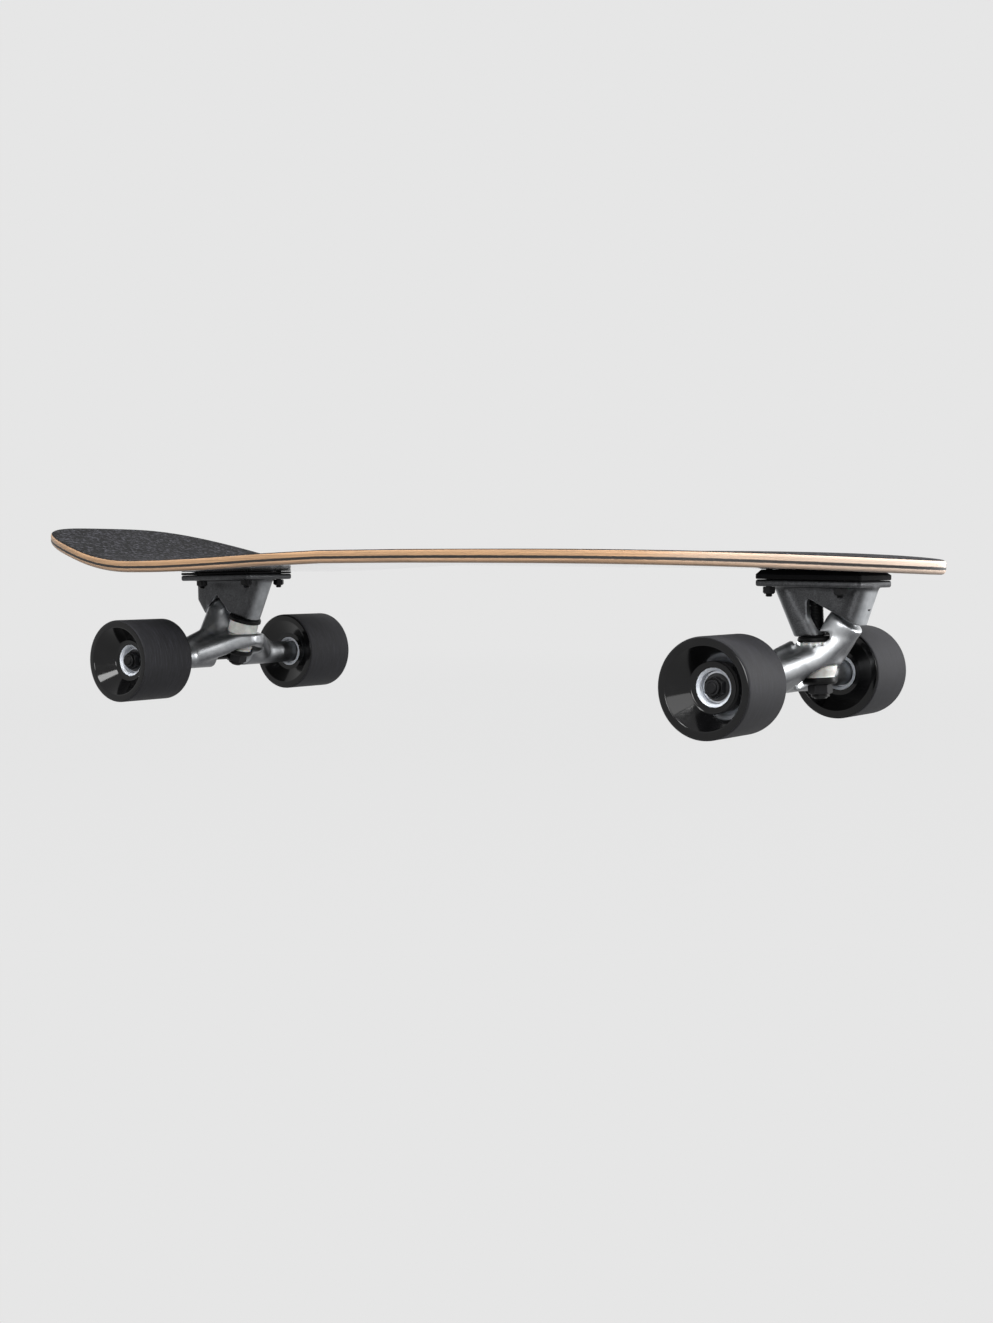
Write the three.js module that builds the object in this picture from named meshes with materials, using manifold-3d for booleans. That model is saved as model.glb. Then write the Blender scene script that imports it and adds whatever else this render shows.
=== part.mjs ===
// Surf skateboard: a seven-ply deck with a kicked tail, carried by a loose front truck and a stiffer
// rear truck on four soft wheels. Millimetres and degrees. +X points to the nose, +Z up, the wheels
// stand on Z = 0, and the origin lies under the middle of the deck's length.
import * as THREE from 'three';
import { ConvexGeometry } from 'three/addons/geometries/ConvexGeometry.js';
import { mergeVertices } from 'three/addons/utils/BufferGeometryUtils.js';
import Module from 'manifold-3d';

const wasm = await Module();
wasm.setup();

// Fits
const seatGap = 0.3;            // between pieces that rest on each other
const pressGap = 0.08;          // around a bearing in its seat
const runningGap = 0.06;        // between the axle and a bearing's bore
const threadGap = 0.15;         // between a bolt and its nut
const overrun = 6;              // how far a cutter reaches past what it cuts

// Running gear
const wheelDiameter = 69;
const wheelWidth = 54;
const wheelbase = 556.6;
const axleMidAhead = 22.5;      // the axles' midpoint, ahead of the deck's middle
const axleDiameter = 8;
const axleStub = 1.3;           // axle standing out of its nut
const axleNutAcross = 13;
const axleNutHeight = 7.4;
const hangerWidth = 172;
const bearingDiameter = 22;
const bearingWidth = 7;
const bearingSpacing = 10;      // clear distance between the two bearings of a wheel
const bearingShieldDepth = 0.5;
const bearingRaceWall = 2.1;    // how wide each race shows beside the shield
const wheelOffset = 4.7;        // the wheel's middle, outboard of its bearings' middle
const wheelLipWidth = 5.8;
const wheelLipChamfer = 1.1;
const hubDiameter = 34;         // where the dished face ends at the hub
const hubRecess = 14.5;         // depth of the hub below the wheel's outer face
const hubBackRecess = 6.8;      // and below its inner face
const coreRimDiameter = 26.5;
const coreRimDepth = 2.2;       // how far the core's rim lies below the hub
const coreShoulder = 1.6;       // step that the bearings stop against

// Deck
const deckLength = 829;
const deckWidth = 246;
const gripThickness = 0.7;
const upperPliesThickness = 4.4;
const blackPlyThickness = 1.4;
const lowerPliesThickness = 3.6;
const widestAft = 40;           // the widest point, behind the deck's middle
const tailSink = 8.1;           // how far the rear truck's place lies below the crown
const noseDrop = 8.7;           // how far the nose lies below the crown
const kickStart = 253;          // where the tail kick starts, behind the deck's middle
const kickBlend = 70;           // length over which it bends up
const kickAngle = 13.7;
const concaveDepth = 3.4;       // of the rails over the middle line, at the nose truck
const outlineFullness = 4.6;    // exponent of the outline along the deck
const noseSharpness = 1.3;      // exponents of the outline across the deck
const tailSharpness = 3.6;
const noseDropPower = 3.5;
const stationCrowding = 2.2;    // how much the stations crowd towards the ends
const stationsPerEnd = 11;
const columns = 4;
const tipShare = 0.9995;        // where the outline is cut square, of each end's reach
const concaveFadeShare = 0.45;  // how far fore and aft of the middle the concave fades, of the half length

// Mounting hardware
const boltSpacingAlong = 53.975;
const boltSpacingAcross = 41.3;
const spareHoleStep = 9.525;    // to the second pair of holes at the plate's outer end
const boltDiameter = 4.8;
const boltHeadDiameter = 9.2;
const boltHeadHeight = 2.7;
const boltHeadRim = 0.5;
const boltStub = 2;
const boltNutAcross = 8.4;
const boltNutHeight = 5.4;

// Truck parts that both trucks share
const plateWidth = 57;
const plateThickness = 4.8;
const plateCorner = 4;
const plateOutward = 4.8;       // the plate's middle, outward of its bolts' middle
const kingpinDiameter = 9.5;
const kingpinHeadAcross = 14;
const kingpinHeadHeight = 5;
const kingpinHeadSink = 2.6;    // the head's middle, below the plate's underside
const kingpinStub = 1.2;
const kingpinNutAcross = 15;
const kingpinNutHeight = 9.4;
const upperWasherDiameter = 28.8;
const lowerWasherDiameter = 24.6;
const washerSheet = 1.5;        // of both cup washers
const upperWasherLip = 2.6;     // height of their turned rims
const lowerWasherLip = 3.2;
const bushingDiameter = 25.4;
const bushingTipDiameter = 21;  // of the lower bushing's end in its washer
const ringHoleDiameter = 16;    // in the hanger's ring, loose around the kingpin
const cupDiameter = 15.6;
const cupLength = 11;
const cupWall = 2.2;
const noseTaper = 1.4;          // how much wider the pivot nose is at its foot
const housingEndRadius = 9.2;
const bossReach = 12;           // half the pivot boss's width
const tubeEndRadius = 9.8;
const tubeCollar = 22;          // length of the fuller end of the hanger's tube
const hollowStep = 2.4;         // how far a bushing's seat stays straight before it flares
const hollowDepth = 5;          // and where the flare ends
const webInset = 1.1;           // of the baseplate's web behind its column and its boss
const kingpinRoom = 10.4;        // the hanger's clear radius around the kingpin, above its washer

// The front hanger's ring and the straps that carry its neck
const frontRingTop = 10.2;       // the ring's rim, above the web that the bushings clamp
const frontRingFoot = 1.6;
const frontRingRadius = 19.4;
const frontRingFootRadius = 15.2;
const strapWidth = 9;

// Places of the front hanger's pads: out, drop, across, radius
const frontPads = {
  root: [-19, 65.8, 0, 7],
  start: [-19, 65.8, 22, 11],
  wing: [-19, 65.8, 46, 8.4],
  hip: [4.2, 50.9, 15.5, 8.6],
  elbow: [10, 46.2, 10.8, 8.4],
  knee: [18.6, 36.3, 6, 8],
  brow: [-13, 42, 5.5, 4.6],
  browSide: [-15, 46.2, 28.7, 3.6],
  browEnd: [-18, 59.3, 58, 4],
};

// The rear hanger's ring and fins
const ringRadius = 20.5;
const ringHeight = 9.8;
const ringSink = 2.9;           // the ring's middle, below the web that the bushings clamp
const finThickness = 7;
const seatBossRadius = 14.4;
const wingReach = 46;           // where the wings run out on the tube
const wingRadius = 8.4;

// Each truck stands in its own frame: X outward to the board's end, Z up, zero on the plate's underside
// midway between its bolts.
const frontTruck = {
  name: 'front',
  facing: 0,
  droop: 0.65,                  // how much its outer end hangs lower
  axleOut: -19,
  axleDrop: 65.8,
  plateLength: 80,
  riser: 3.8,
  riserInset: 3.5,              // of the riser's raised middle
  kingpinOut: -0.9,             // where the kingpin's line meets the plate's underside
  kingpinLean: 4,               // its foot leans outward
  seatDepth: 34.7,              // along the kingpin to the housing's seat
  upperBushing: 10,
  lowerBushing: 12.1,
  ringWeb: 8.5,
  pivotOut: 26.8,
  pivotDrop: 19.3,
  housingTopBack: 32.8,         // the housing's inner end, inward of the kingpin at the plate
  housingFootBack: 17.2,        // and at its foot
  seatReach: 6,               // the seat's outward edge, from the kingpin
  throatReach: -5,            // the throat's inner wall, outward of the kingpin
  throatRise: 1,                // how high that wall rises before the throat slants, as a share
  hoodSlope: 25.6,              // of the boss's mouth
  hoodDistance: 36.65,          // along the steering line to the mouth
  apexReach: 19.4,              // how far the mouth's plane runs on inward of the boss
  bossWidth: 24,
  bossCorner: 9,
  bossWall: 0,                  // how far the boss's outer wall drops straight from the plate
  mouthDistance: 39.55,          // along the steering line to the pivot cup's mouth
  neckRadius: 12,
  neckShoulder: 6.1,            // how far the neck's top slants down to it from the nose
  collarRadius: 7.4,            // of the neck where it enters the boss
  collarDrop: 4.9,              // and how far below the nose that is
  tubeRadius: 10.2,
  seatRoom: 15,                 // the hanger's seats around the bushings
  upperRoom: 18.8,              // and its hollows around the washers
  lowerRoom: 17.4,
};
const rearTruck = {
  name: 'rear',
  facing: 180,
  droop: 1.35,
  axleOut: 19.4,
  axleDrop: 67,
  plateLength: 84.5,
  riser: 2.1,
  riserInset: 11,
  kingpinOut: -15.6,
  kingpinLean: 17.5,
  seatDepth: 34.05,
  upperBushing: 13.95,
  lowerBushing: 11.65,
  ringWeb: 5.4,
  pivotOut: 33.6,
  pivotDrop: 18,
  housingTopBack: 22.2,
  housingFootBack: 14.2,
  seatReach: 14.6,
  throatReach: 14.6,
  throatRise: 0,
  hoodSlope: 47.5,
  hoodDistance: 41.5,
  apexReach: 0,
  bossWidth: 19.6,
  bossCorner: 6.5,
  bossWall: 17,
  mouthDistance: 41.5,
  neckRadius: 7.8,
  neckShoulder: 1.4,
  collarRadius: 7.2,
  collarDrop: 0.7,
  tubeRadius: 10.2,
  seatRoom: 13.6,
  upperRoom: 13.6,
  lowerRoom: 21.5,
};

// Facets of the round pieces
const wheelSides = 30;
const bearingSides = 14;
const roundSides = 16;
const boltSides = 8;
const castSides = 14;
const padSides = 8;
const cornerSides = 3;

// Colours, with roughness and metalness
const finishes = {
  grip: ['#46464b', 0.95, 0],
  maple: ['#d9b187', 0.5, 0],
  blackPly: ['#2a1f18', 0.6, 0],
  rubber: ['#151516', 0.8, 0],
  casting: ['#8f9194', 0.38, 1],
  steelBlack: ['#17171a', 0.45, 0.6],
  steel: ['#8b8f96', 0.3, 1],
  bushing: ['#dcdcd4', 0.5, 0],
  urethane: ['#232326', 0.5, 0],
};

const toRadians = Math.PI / 180;
const fullTurn = Math.PI * 2;
const half = 0.5;
const up = new THREE.Vector3(0, 1, 0);
const deckThickness = gripThickness + upperPliesThickness + blackPlyThickness + lowerPliesThickness;
const wheelRadius = wheelDiameter * half;
const axleRadius = axleDiameter * half;
const deckReach = deckLength * half;

// Solids
function solidOf(geometry) {
  geometry.deleteAttribute('normal');
  geometry.deleteAttribute('uv');
  const merged = mergeVertices(geometry);
  const places = merged.attributes.position;
  const corners = merged.index.array;
  const triangles = [];
  let volume = 0;
  const [a, b, c] = [new THREE.Vector3(), new THREE.Vector3(), new THREE.Vector3()];
  for (let i = 0; i < corners.length; i += 3) {
    const [p, q, r] = [corners[i], corners[i + 1], corners[i + 2]];
    if (p === q || q === r || r === p) continue;
    triangles.push(p, q, r);
    a.fromBufferAttribute(places, p);
    b.fromBufferAttribute(places, q);
    c.fromBufferAttribute(places, r);
    volume += a.dot(b.cross(c));
  }
  if (volume < 0) triangles.reverse();
  return new wasm.Manifold(new wasm.Mesh({
    numProp: 3,
    vertProperties: new Float32Array(places.array),
    triVerts: new Uint32Array(triangles),
  }));
}

function geometryOf(solid) {
  const mesh = solid.getMesh();
  const geometry = new THREE.BufferGeometry();
  geometry.setAttribute('position', new THREE.BufferAttribute(mesh.vertProperties, 3));
  geometry.setIndex(new THREE.BufferAttribute(mesh.triVerts, 1));
  return geometry;
}

function joined(solids) {
  return solids.reduce((whole, solid) => whole.add(solid));
}

function cutBy(solid, cutters) {
  return cutters.reduce((rest, cutter) => rest.subtract(cutter), solid);
}

const at = (x, y, z) => new THREE.Vector3(x, y, z);

// A turned piece: its profile is radius and place along the line from a point in a direction.
function turned(profile, sides, from, direction) {
  const points = profile.map(([radius, along]) => new THREE.Vector2(radius, along));
  const geometry = new THREE.LatheGeometry(points, sides, Math.PI / sides, fullTurn);
  const turn = new THREE.Quaternion().setFromUnitVectors(up, direction.clone().normalize());
  geometry.applyQuaternion(turn);
  geometry.translate(from.x, from.y, from.z);
  return solidOf(geometry);
}

function rod(radius, start, end, sides, from, direction) {
  return turned([[0, start], [radius, start], [radius, end], [0, end]], sides, from, direction);
}

function tube(inner, outer, start, end, sides, from, direction) {
  const profile = [[inner, start], [outer, start], [outer, end], [inner, end], [inner, start]];
  return turned(profile, sides, from, direction);
}

// The radius that a faceted circle needs for its flats to lie at a given radius
function flatsAt(radius, sides) {
  return radius / Math.cos(Math.PI / sides);
}

function hexNut(across, bore, start, end, from, direction) {
  const outside = rod(flatsAt(across * half, 6), start, end, 6, from, direction);
  const hole = rod(bore, start - overrun, end + overrun, castSides, from, direction);
  return outside.subtract(hole);
}

// A prism from an outline in the side view, as wide as given across the board
function sidePrism(points, width) {
  const shape = new THREE.Shape(points.map(([x, z]) => new THREE.Vector2(x, z)));
  const geometry = new THREE.ExtrudeGeometry(shape, { depth: width, bevelEnabled: false });
  geometry.rotateX(Math.PI * half);
  geometry.translate(0, width * half, 0);
  return solidOf(geometry);
}

// Points of a circle around a line, and the body that wraps several sets of points
function circle(centre, direction, radius, sides = castSides) {
  const turn = new THREE.Quaternion().setFromUnitVectors(up, direction.clone().normalize());
  return Array.from({ length: sides }, (_, i) => {
    const angle = (i + half) / sides * fullTurn;
    const point = at(radius * Math.cos(angle), 0, radius * Math.sin(angle));
    return point.applyQuaternion(turn).add(centre);
  });
}

function wrapped(...sets) {
  return solidOf(new ConvexGeometry(sets.flat()));
}

// A round pad with bevelled rims, across the board: its middle, width, radius and bevel
function pad(centre, width, radius, bevel, sides = padSides) {
  const across = at(0, 1, 0);
  const outer = width * half;
  return [
    [outer, radius - bevel], [outer - bevel, radius], [bevel - outer, radius], [-outer, radius - bevel],
  ].flatMap(([shift, size]) => circle(centre.clone().add(at(0, shift, 0)), across, size, sides));
}

// Deck
function endReach(x) {
  return x < -widestAft ? deckReach - widestAft : deckReach + widestAft;
}

function halfWidthAt(x) {
  const share = Math.min(Math.abs(x + widestAft) / endReach(x), 1) * tipShare;
  const sharpness = x < -widestAft ? tailSharpness : noseSharpness;
  return deckWidth * half * (1 - share ** outlineFullness) ** (1 / sharpness);
}

// How the rail rises and falls along the deck, with zero at the crown
function railRise(x) {
  if (x >= 0) return -noseDrop * (x / deckReach) ** noseDropPower;
  const sink = -tailSink * (1 - Math.cos(Math.PI * Math.min(-x / kickStart, 1))) * half;
  const run = Math.max(-x - kickStart, 0);
  const slope = Math.tan(kickAngle * toRadians);
  const bent = Math.min(run, kickBlend);
  return sink + slope * bent * bent / kickBlend * half + slope * (run - bent);
}

function concaveAt(x) {
  const share = THREE.MathUtils.smoothstep(x / deckReach, -concaveFadeShare, concaveFadeShare);
  return concaveDepth * share;
}

function surfaceRise(x, y) {
  const reach = deckWidth * half;
  return railRise(x) - concaveAt(x) * ((halfWidthAt(x) / reach) ** 2 - (y / reach) ** 2);
}

function truckTurn(truck) {
  const turn = new THREE.Euler(0, truck.droop * toRadians, truck.facing * toRadians, 'ZYX');
  return new THREE.Matrix4().makeRotationFromEuler(turn);
}

function axlePlace(truck) {
  const ahead = truck === frontTruck ? wheelbase * half : -wheelbase * half;
  return at(axleMidAhead + ahead, 0, wheelRadius);
}

function truckPlace(truck) {
  const axle = at(truck.axleOut, 0, -truck.axleDrop).applyMatrix4(truckTurn(truck));
  return axlePlace(truck).sub(axle);
}

// The rear truck's stack sets the crown's height. The front riser fills what is left under the deck.
const rearSeat = truckPlace(rearTruck);
const crownHeight = rearSeat.z + plateThickness + rearTruck.riser + seatGap + deckThickness
  - surfaceRise(rearSeat.x, 0);

function deckTop(x, y) {
  return crownHeight + surfaceRise(x, y);
}

function deckStations() {
  const shares = Array.from({ length: stationsPerEnd + 1 }, (_, i) => (
    1 - (1 - i / stationsPerEnd) ** stationCrowding
  ));
  const aft = shares.slice(1).reverse().map((share) => -widestAft - share * (deckReach - widestAft));
  const fore = shares.map((share) => -widestAft + share * (deckReach + widestAft));
  return [...aft, ...fore];
}

// A sheet of the deck between two depths below its top surface
function deckSheet(topDepth, bottomDepth) {
  const stations = deckStations();
  const places = [];
  for (const depth of [topDepth, bottomDepth]) {
    for (const x of stations) {
      for (let j = 0; j <= columns; j += 1) {
        const y = halfWidthAt(x) * (2 * j / columns - 1);
        places.push(x, y, deckTop(x, y) - depth);
      }
    }
  }
  const row = columns + 1;
  const layer = stations.length * row;
  const faces = [];
  const quad = (a, b, c, d) => faces.push(a, b, c, a, c, d);
  for (let i = 0; i + 1 < stations.length; i += 1) {
    const [near, next] = [i * row, (i + 1) * row];
    for (let j = 0; j < columns; j += 1) {
      quad(near + j, next + j, next + j + 1, near + j + 1);
      quad(layer + near + j, layer + near + j + 1, layer + next + j + 1, layer + next + j);
    }
    quad(near, layer + near, layer + next, next);
    quad(near + columns, next + columns, layer + next + columns, layer + near + columns);
  }
  const last = (stations.length - 1) * row;
  for (let j = 0; j < columns; j += 1) {
    quad(j, j + 1, layer + j + 1, layer + j);
    quad(last + j + 1, last + j, layer + last + j, layer + last + j + 1);
  }
  const geometry = new THREE.BufferGeometry();
  geometry.setAttribute('position', new THREE.BufferAttribute(new Float32Array(places), 3));
  geometry.setIndex(faces);
  return solidOf(geometry);
}

// Mounting bolts, in a truck's frame
const boltPlaces = [-half, half].flatMap((along) => [-half, half].map((across) => (
  [along * boltSpacingAlong, across * boltSpacingAcross]
)));
const sparePlaces = [-half, half].map((across) => (
  [boltSpacingAlong * half + spareHoleStep, across * boltSpacingAcross]
));

// The bolt's head is flush with the grip where the bolt leaves the deck.
function boltTop(truck, x, y) {
  const seat = truckPlace(truck);
  const place = at(x, y, 0).applyMatrix4(truckTurn(truck)).add(seat);
  return (deckTop(place.x, place.y) - place.z) / Math.cos(truck.droop * toRadians) - gripThickness;
}

function boltSolid(truck, [x, y], grow) {
  const top = boltTop(truck, x, y);
  const shank = boltDiameter * half + grow;
  const head = boltHeadDiameter * half + grow;
  const crown = grow > 0 ? top + overrun : top;
  return turned([
    [0, -boltNutHeight - boltStub],
    [shank, -boltNutHeight - boltStub],
    [shank, top - boltHeadHeight - grow],
    [head, top - boltHeadRim - grow],
    [head, crown],
    [0, crown],
  ], boltSides, at(x, y, 0), at(0, 0, 1));
}

function inWorld(truck, solid) {
  const geometry = geometryOf(solid);
  geometry.applyMatrix4(truckTurn(truck));
  const seat = truckPlace(truck);
  geometry.translate(seat.x, seat.y, seat.z);
  return solidOf(geometry);
}

function inTruck(truck, solid) {
  const geometry = geometryOf(solid);
  const seat = truckPlace(truck);
  geometry.translate(-seat.x, -seat.y, -seat.z);
  geometry.applyMatrix4(truckTurn(truck).invert());
  return solidOf(geometry);
}

const deckHoles = [frontTruck, rearTruck].flatMap((truck) => (
  boltPlaces.map((place) => inWorld(truck, boltSolid(truck, place, seatGap)))
));

// Kingpin and steering lines, in a truck's frame
function kingpinLine(truck) {
  const lean = truck.kingpinLean * toRadians;
  return { from: at(truck.kingpinOut, 0, 0), down: at(Math.sin(lean), 0, -Math.cos(lean)) };
}

function onKingpin(truck, distance) {
  const { from, down } = kingpinLine(truck);
  return from.clone().addScaledVector(down, distance);
}

// Places along the kingpin, from the housing's seat down to the end of the nut
function stackOf(truck) {
  const upperWasher = truck.seatDepth + seatGap;
  const upperBushing = upperWasher + washerSheet;
  const ring = upperBushing + truck.upperBushing;
  const lowerBushing = ring + truck.ringWeb;
  const lowerWasher = lowerBushing + truck.lowerBushing;
  const nut = lowerWasher + washerSheet;
  return { upperWasher, upperBushing, ring, lowerBushing, lowerWasher, nut, end: nut + kingpinNutHeight };
}

function steeringLine(truck) {
  const stack = stackOf(truck);
  const from = onKingpin(truck, (stack.ring + stack.lowerBushing) * half);
  const pivot = at(truck.pivotOut, 0, -truck.pivotDrop);
  return { from, rise: pivot.sub(from).normalize() };
}

function onSteering(truck, distance) {
  const { from, rise } = steeringLine(truck);
  return from.clone().addScaledVector(rise, distance);
}

// Baseplate: a drilled plate with a housing that wraps the kingpin's end and the pivot's boss
function plateOutline(truck, inset) {
  const length = truck.plateLength * half - inset;
  const width = plateWidth * half - inset;
  const corner = plateCorner;
  const shape = new THREE.Shape();
  shape.moveTo(corner - length, -width);
  shape.lineTo(length - corner, -width);
  shape.absarc(length - corner, corner - width, corner, -Math.PI * half, 0);
  shape.absarc(length - corner, width - corner, corner, 0, Math.PI * half);
  shape.absarc(corner - length, width - corner, corner, Math.PI * half, Math.PI);
  shape.absarc(corner - length, corner - width, corner, Math.PI, Math.PI * 1.5);
  return shape;
}

function slab(truck, bottom, top, inset) {
  const shape = plateOutline(truck, inset);
  const settings = { depth: top - bottom, bevelEnabled: false, curveSegments: cornerSides };
  const geometry = new THREE.ExtrudeGeometry(shape, settings);
  geometry.translate(plateOutward, 0, bottom);
  return solidOf(geometry);
}

function plateHoles(depth, height) {
  return [...boltPlaces, ...sparePlaces].map(([x, y]) => (
    rod(boltDiameter * half + seatGap, -depth, height, boltSides, at(x, y, 0), at(0, 0, 1))
  ));
}

function baseplate(truck) {
  const { from, down } = kingpinLine(truck);
  const { rise } = steeringLine(truck);
  const inward = at(-Math.cos(truck.kingpinLean * toRadians), 0, -Math.sin(truck.kingpinLean * toRadians));
  const seat = onKingpin(truck, truck.seatDepth);
  const mouth = onSteering(truck, truck.mouthDistance);
  const slope = truck.hoodSlope * toRadians;
  const lip = at(Math.cos(slope), 0, -Math.sin(slope));
  const hoodNormal = at(Math.sin(slope), 0, Math.cos(slope));
  const hood = onSteering(truck, truck.hoodDistance);
  const plateTop = at(0, 0, plateThickness * half);
  const upright = at(0, 0, 1);
  const outerEnd = plateOutward + truck.plateLength * half - truck.bossCorner;
  const foot = seat.clone().addScaledVector(inward, truck.housingFootBack - housingEndRadius);
  const top = from.clone().add(at(housingEndRadius - truck.housingTopBack, 0, 0)).add(plateTop);
  const boss = (centre, direction, inset) => [-1, 1].flatMap((side) => {
    const middle = centre.clone().add(at(0, side * (truck.bossWidth * half - truck.bossCorner), 0));
    return circle(middle, direction, truck.bossCorner - inset);
  });
  const column = (inset) => [
    circle(top, upright, housingEndRadius - inset),
    circle(foot, down, housingEndRadius - inset),
    circle(seat.clone().addScaledVector(inward, housingEndRadius - truck.seatReach), down,
      housingEndRadius - inset),
  ];
  const bossEnds = (inset) => [
    boss(at(outerEnd, 0, plateTop.z), upright, inset),
    boss(at(outerEnd, 0, -truck.bossWall), upright, inset),
    boss(hood.clone().addScaledVector(lip, bossReach - truck.bossCorner), hoodNormal, inset),
  ];
  const web = wrapped(...column(webInset), ...bossEnds(webInset));
  const wall = seat.clone().addScaledVector(inward, -truck.throatReach);
  const seatBack = seat.clone().addScaledVector(inward, truck.plateLength);
  const apex = hood.clone().addScaledVector(lip, -bossReach - truck.apexReach);
  const lipEnd = hood.clone().addScaledVector(lip, truck.plateLength);
  const shoulder = at(wall.x, 0, THREE.MathUtils.lerp(wall.z, apex.z, truck.throatRise));
  const floor = -truck.axleDrop * 2;
  const throat = sidePrism([
    [seatBack.x, seatBack.z], [seatBack.x, floor], [lipEnd.x, floor],
    [lipEnd.x, lipEnd.z], [apex.x, apex.z], [shoulder.x, shoulder.z], [wall.x, wall.z],
  ], plateWidth);
  const socket = cupDiameter * half + seatGap;
  const cutters = [
    rod(kingpinDiameter * half + seatGap, -truck.plateLength, truck.plateLength, castSides, from, down),
    rod(flatsAt(kingpinHeadAcross * half, 6) + seatGap, -truck.plateLength,
      kingpinHeadSink + kingpinHeadHeight * half + seatGap, castSides, from, down),
    rod(socket, -truck.plateLength * half, cupLength + seatGap, castSides, mouth, rise),
    ...plateHoles(overrun, plateThickness + overrun),
  ];
  const housing = web.add(wrapped(...bossEnds(0))).subtract(throat);
  const body = joined([slab(truck, 0, plateThickness, 0), housing, wrapped(...column(0))]);
  return cutBy(body, cutters);
}

function riserPad(truck) {
  const bottom = plateThickness + seatGap;
  const top = bottom + truck.riser;
  const over = deckSheet(-deckThickness, deckThickness + seatGap);
  const stack = slab(truck, bottom, top, 0).add(
    slab(truck, bottom, top + concaveDepth + overrun, truck.riserInset),
  );
  return cutBy(stack, [inTruck(truck, over), ...plateHoles(overrun, top + truck.plateLength)]);
}

function pivotCup(truck) {
  const mouth = onSteering(truck, truck.mouthDistance);
  const { rise } = steeringLine(truck);
  const outside = cupDiameter * half;
  const inside = outside - cupWall;
  return turned([
    [inside + noseTaper, 0], [outside, 0], [outside, cupLength], [0, cupLength],
    [0, cupLength - cupWall], [inside * half, cupLength - cupWall],
    [inside, cupLength - cupWall - inside * half], [inside + noseTaper, 0],
  ], castSides, mouth, rise);
}

function kingpin(truck) {
  const { from, down } = kingpinLine(truck);
  const stack = stackOf(truck);
  const headStart = kingpinHeadSink - kingpinHeadHeight * half;
  const headRadius = flatsAt(kingpinHeadAcross * half, 6);
  const head = rod(headRadius, headStart, headStart + kingpinHeadHeight, 6, from, down);
  const shank = rod(kingpinDiameter * half, headStart, stack.end + kingpinStub, castSides, from, down);
  return head.add(shank);
}

function kingpinNut(truck) {
  const { from, down } = kingpinLine(truck);
  const stack = stackOf(truck);
  const bore = flatsAt(kingpinDiameter * half + threadGap, castSides);
  return hexNut(kingpinNutAcross, bore, stack.nut + seatGap, stack.end, from, down);
}

// A cup washer: its sheet starts at a place on the kingpin, and its rim turns the given way.
function cupWasher(truck, start, diameter, lip, way) {
  const { from, down } = kingpinLine(truck);
  const bore = kingpinDiameter * half + seatGap;
  const outside = diameter * half;
  const rim = outside - washerSheet;
  const face = start + way * washerSheet;
  return turned([
    [bore, start], [outside - washerSheet * half, start], [outside, face], [outside, face + way * lip],
    [rim, face + way * lip], [rim, face], [bore, face], [bore, start],
  ], roundSides, from, down);
}

// A bushing is a barrel, or tapers to the tip that its washer's rim holds.
function bushing(truck, start, end, tip, tipLength) {
  const { from, down } = kingpinLine(truck);
  const bore = kingpinDiameter * half + seatGap;
  const wide = bushingDiameter * half;
  return turned([
    [bore, start], [wide, start], [tip, end - tipLength], [tip, end], [bore, end], [bore, start],
  ], roundSides, from, down);
}

// Hangers
function tubeSolid(truck) {
  const reach = hangerWidth * half;
  const collar = reach - tubeCollar;
  return turned([
    [0, -reach], [tubeEndRadius - seatGap, -reach], [tubeEndRadius, -reach + seatGap],
    [tubeEndRadius, -collar], [truck.tubeRadius, -collar + tubeEndRadius],
    [truck.tubeRadius, collar - tubeEndRadius],
    [tubeEndRadius, collar], [tubeEndRadius, reach - seatGap], [tubeEndRadius - seatGap, reach], [0, reach],
  ], roundSides, at(truck.axleOut, 0, -truck.axleDrop), at(0, 1, 0));
}

// Where the neck's widest ring lies along the steering line
function neckCentre(truck) {
  return truck.mouthDistance - seatGap * 2 - truck.neckShoulder - truck.neckRadius * half;
}

// The nose turns in the pivot cup, and its neck carries it on the hanger.
function pivotNose(truck) {
  const mouth = truck.mouthDistance;
  const { neckRadius } = truck;
  const neckStart = neckCentre(truck) - neckRadius;
  const inside = cupDiameter * half - cupWall - seatGap;
  const tip = mouth + cupLength - cupWall - seatGap;
  const { from, rise } = steeringLine(truck);
  const foot = mouth - seatGap * 2;
  return turned([
    [0, neckStart], [neckRadius, neckStart], [neckRadius, foot - truck.neckShoulder],
    [truck.collarRadius, foot - truck.collarDrop],
    [inside + noseTaper, foot], [inside, tip - inside], [inside * half, tip - seatGap], [0, tip - seatGap],
  ], castSides, from, rise);
}

function hangerCuts(truck) {
  const { from, down } = kingpinLine(truck);
  const stack = stackOf(truck);
  const seatDepths = [stack.ring - seatGap, stack.lowerBushing + seatGap];
  const hollow = (seat, radius, way, end) => turned([
    [0, seat], [truck.seatRoom, seat], [truck.seatRoom, seat + way * hollowStep],
    [radius, seat + way * hollowDepth], [radius, end], [0, end],
  ], roundSides, from, down);
  return [
    rod(ringHoleDiameter * half, 0, stack.end + truck.plateLength, castSides, from, down),
    rod(kingpinRoom, 0, truck.seatDepth, castSides, from, down),
    hollow(seatDepths[0], truck.upperRoom, -1, truck.seatDepth - hollowStep),
    hollow(seatDepths[1], truck.lowerRoom, 1, stack.end + truck.plateLength),
    rod(flatsAt(axleRadius + seatGap, castSides), -hangerWidth, hangerWidth, castSides,
      at(truck.axleOut, 0, -truck.axleDrop), at(0, 1, 0)),
  ];
}

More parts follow.
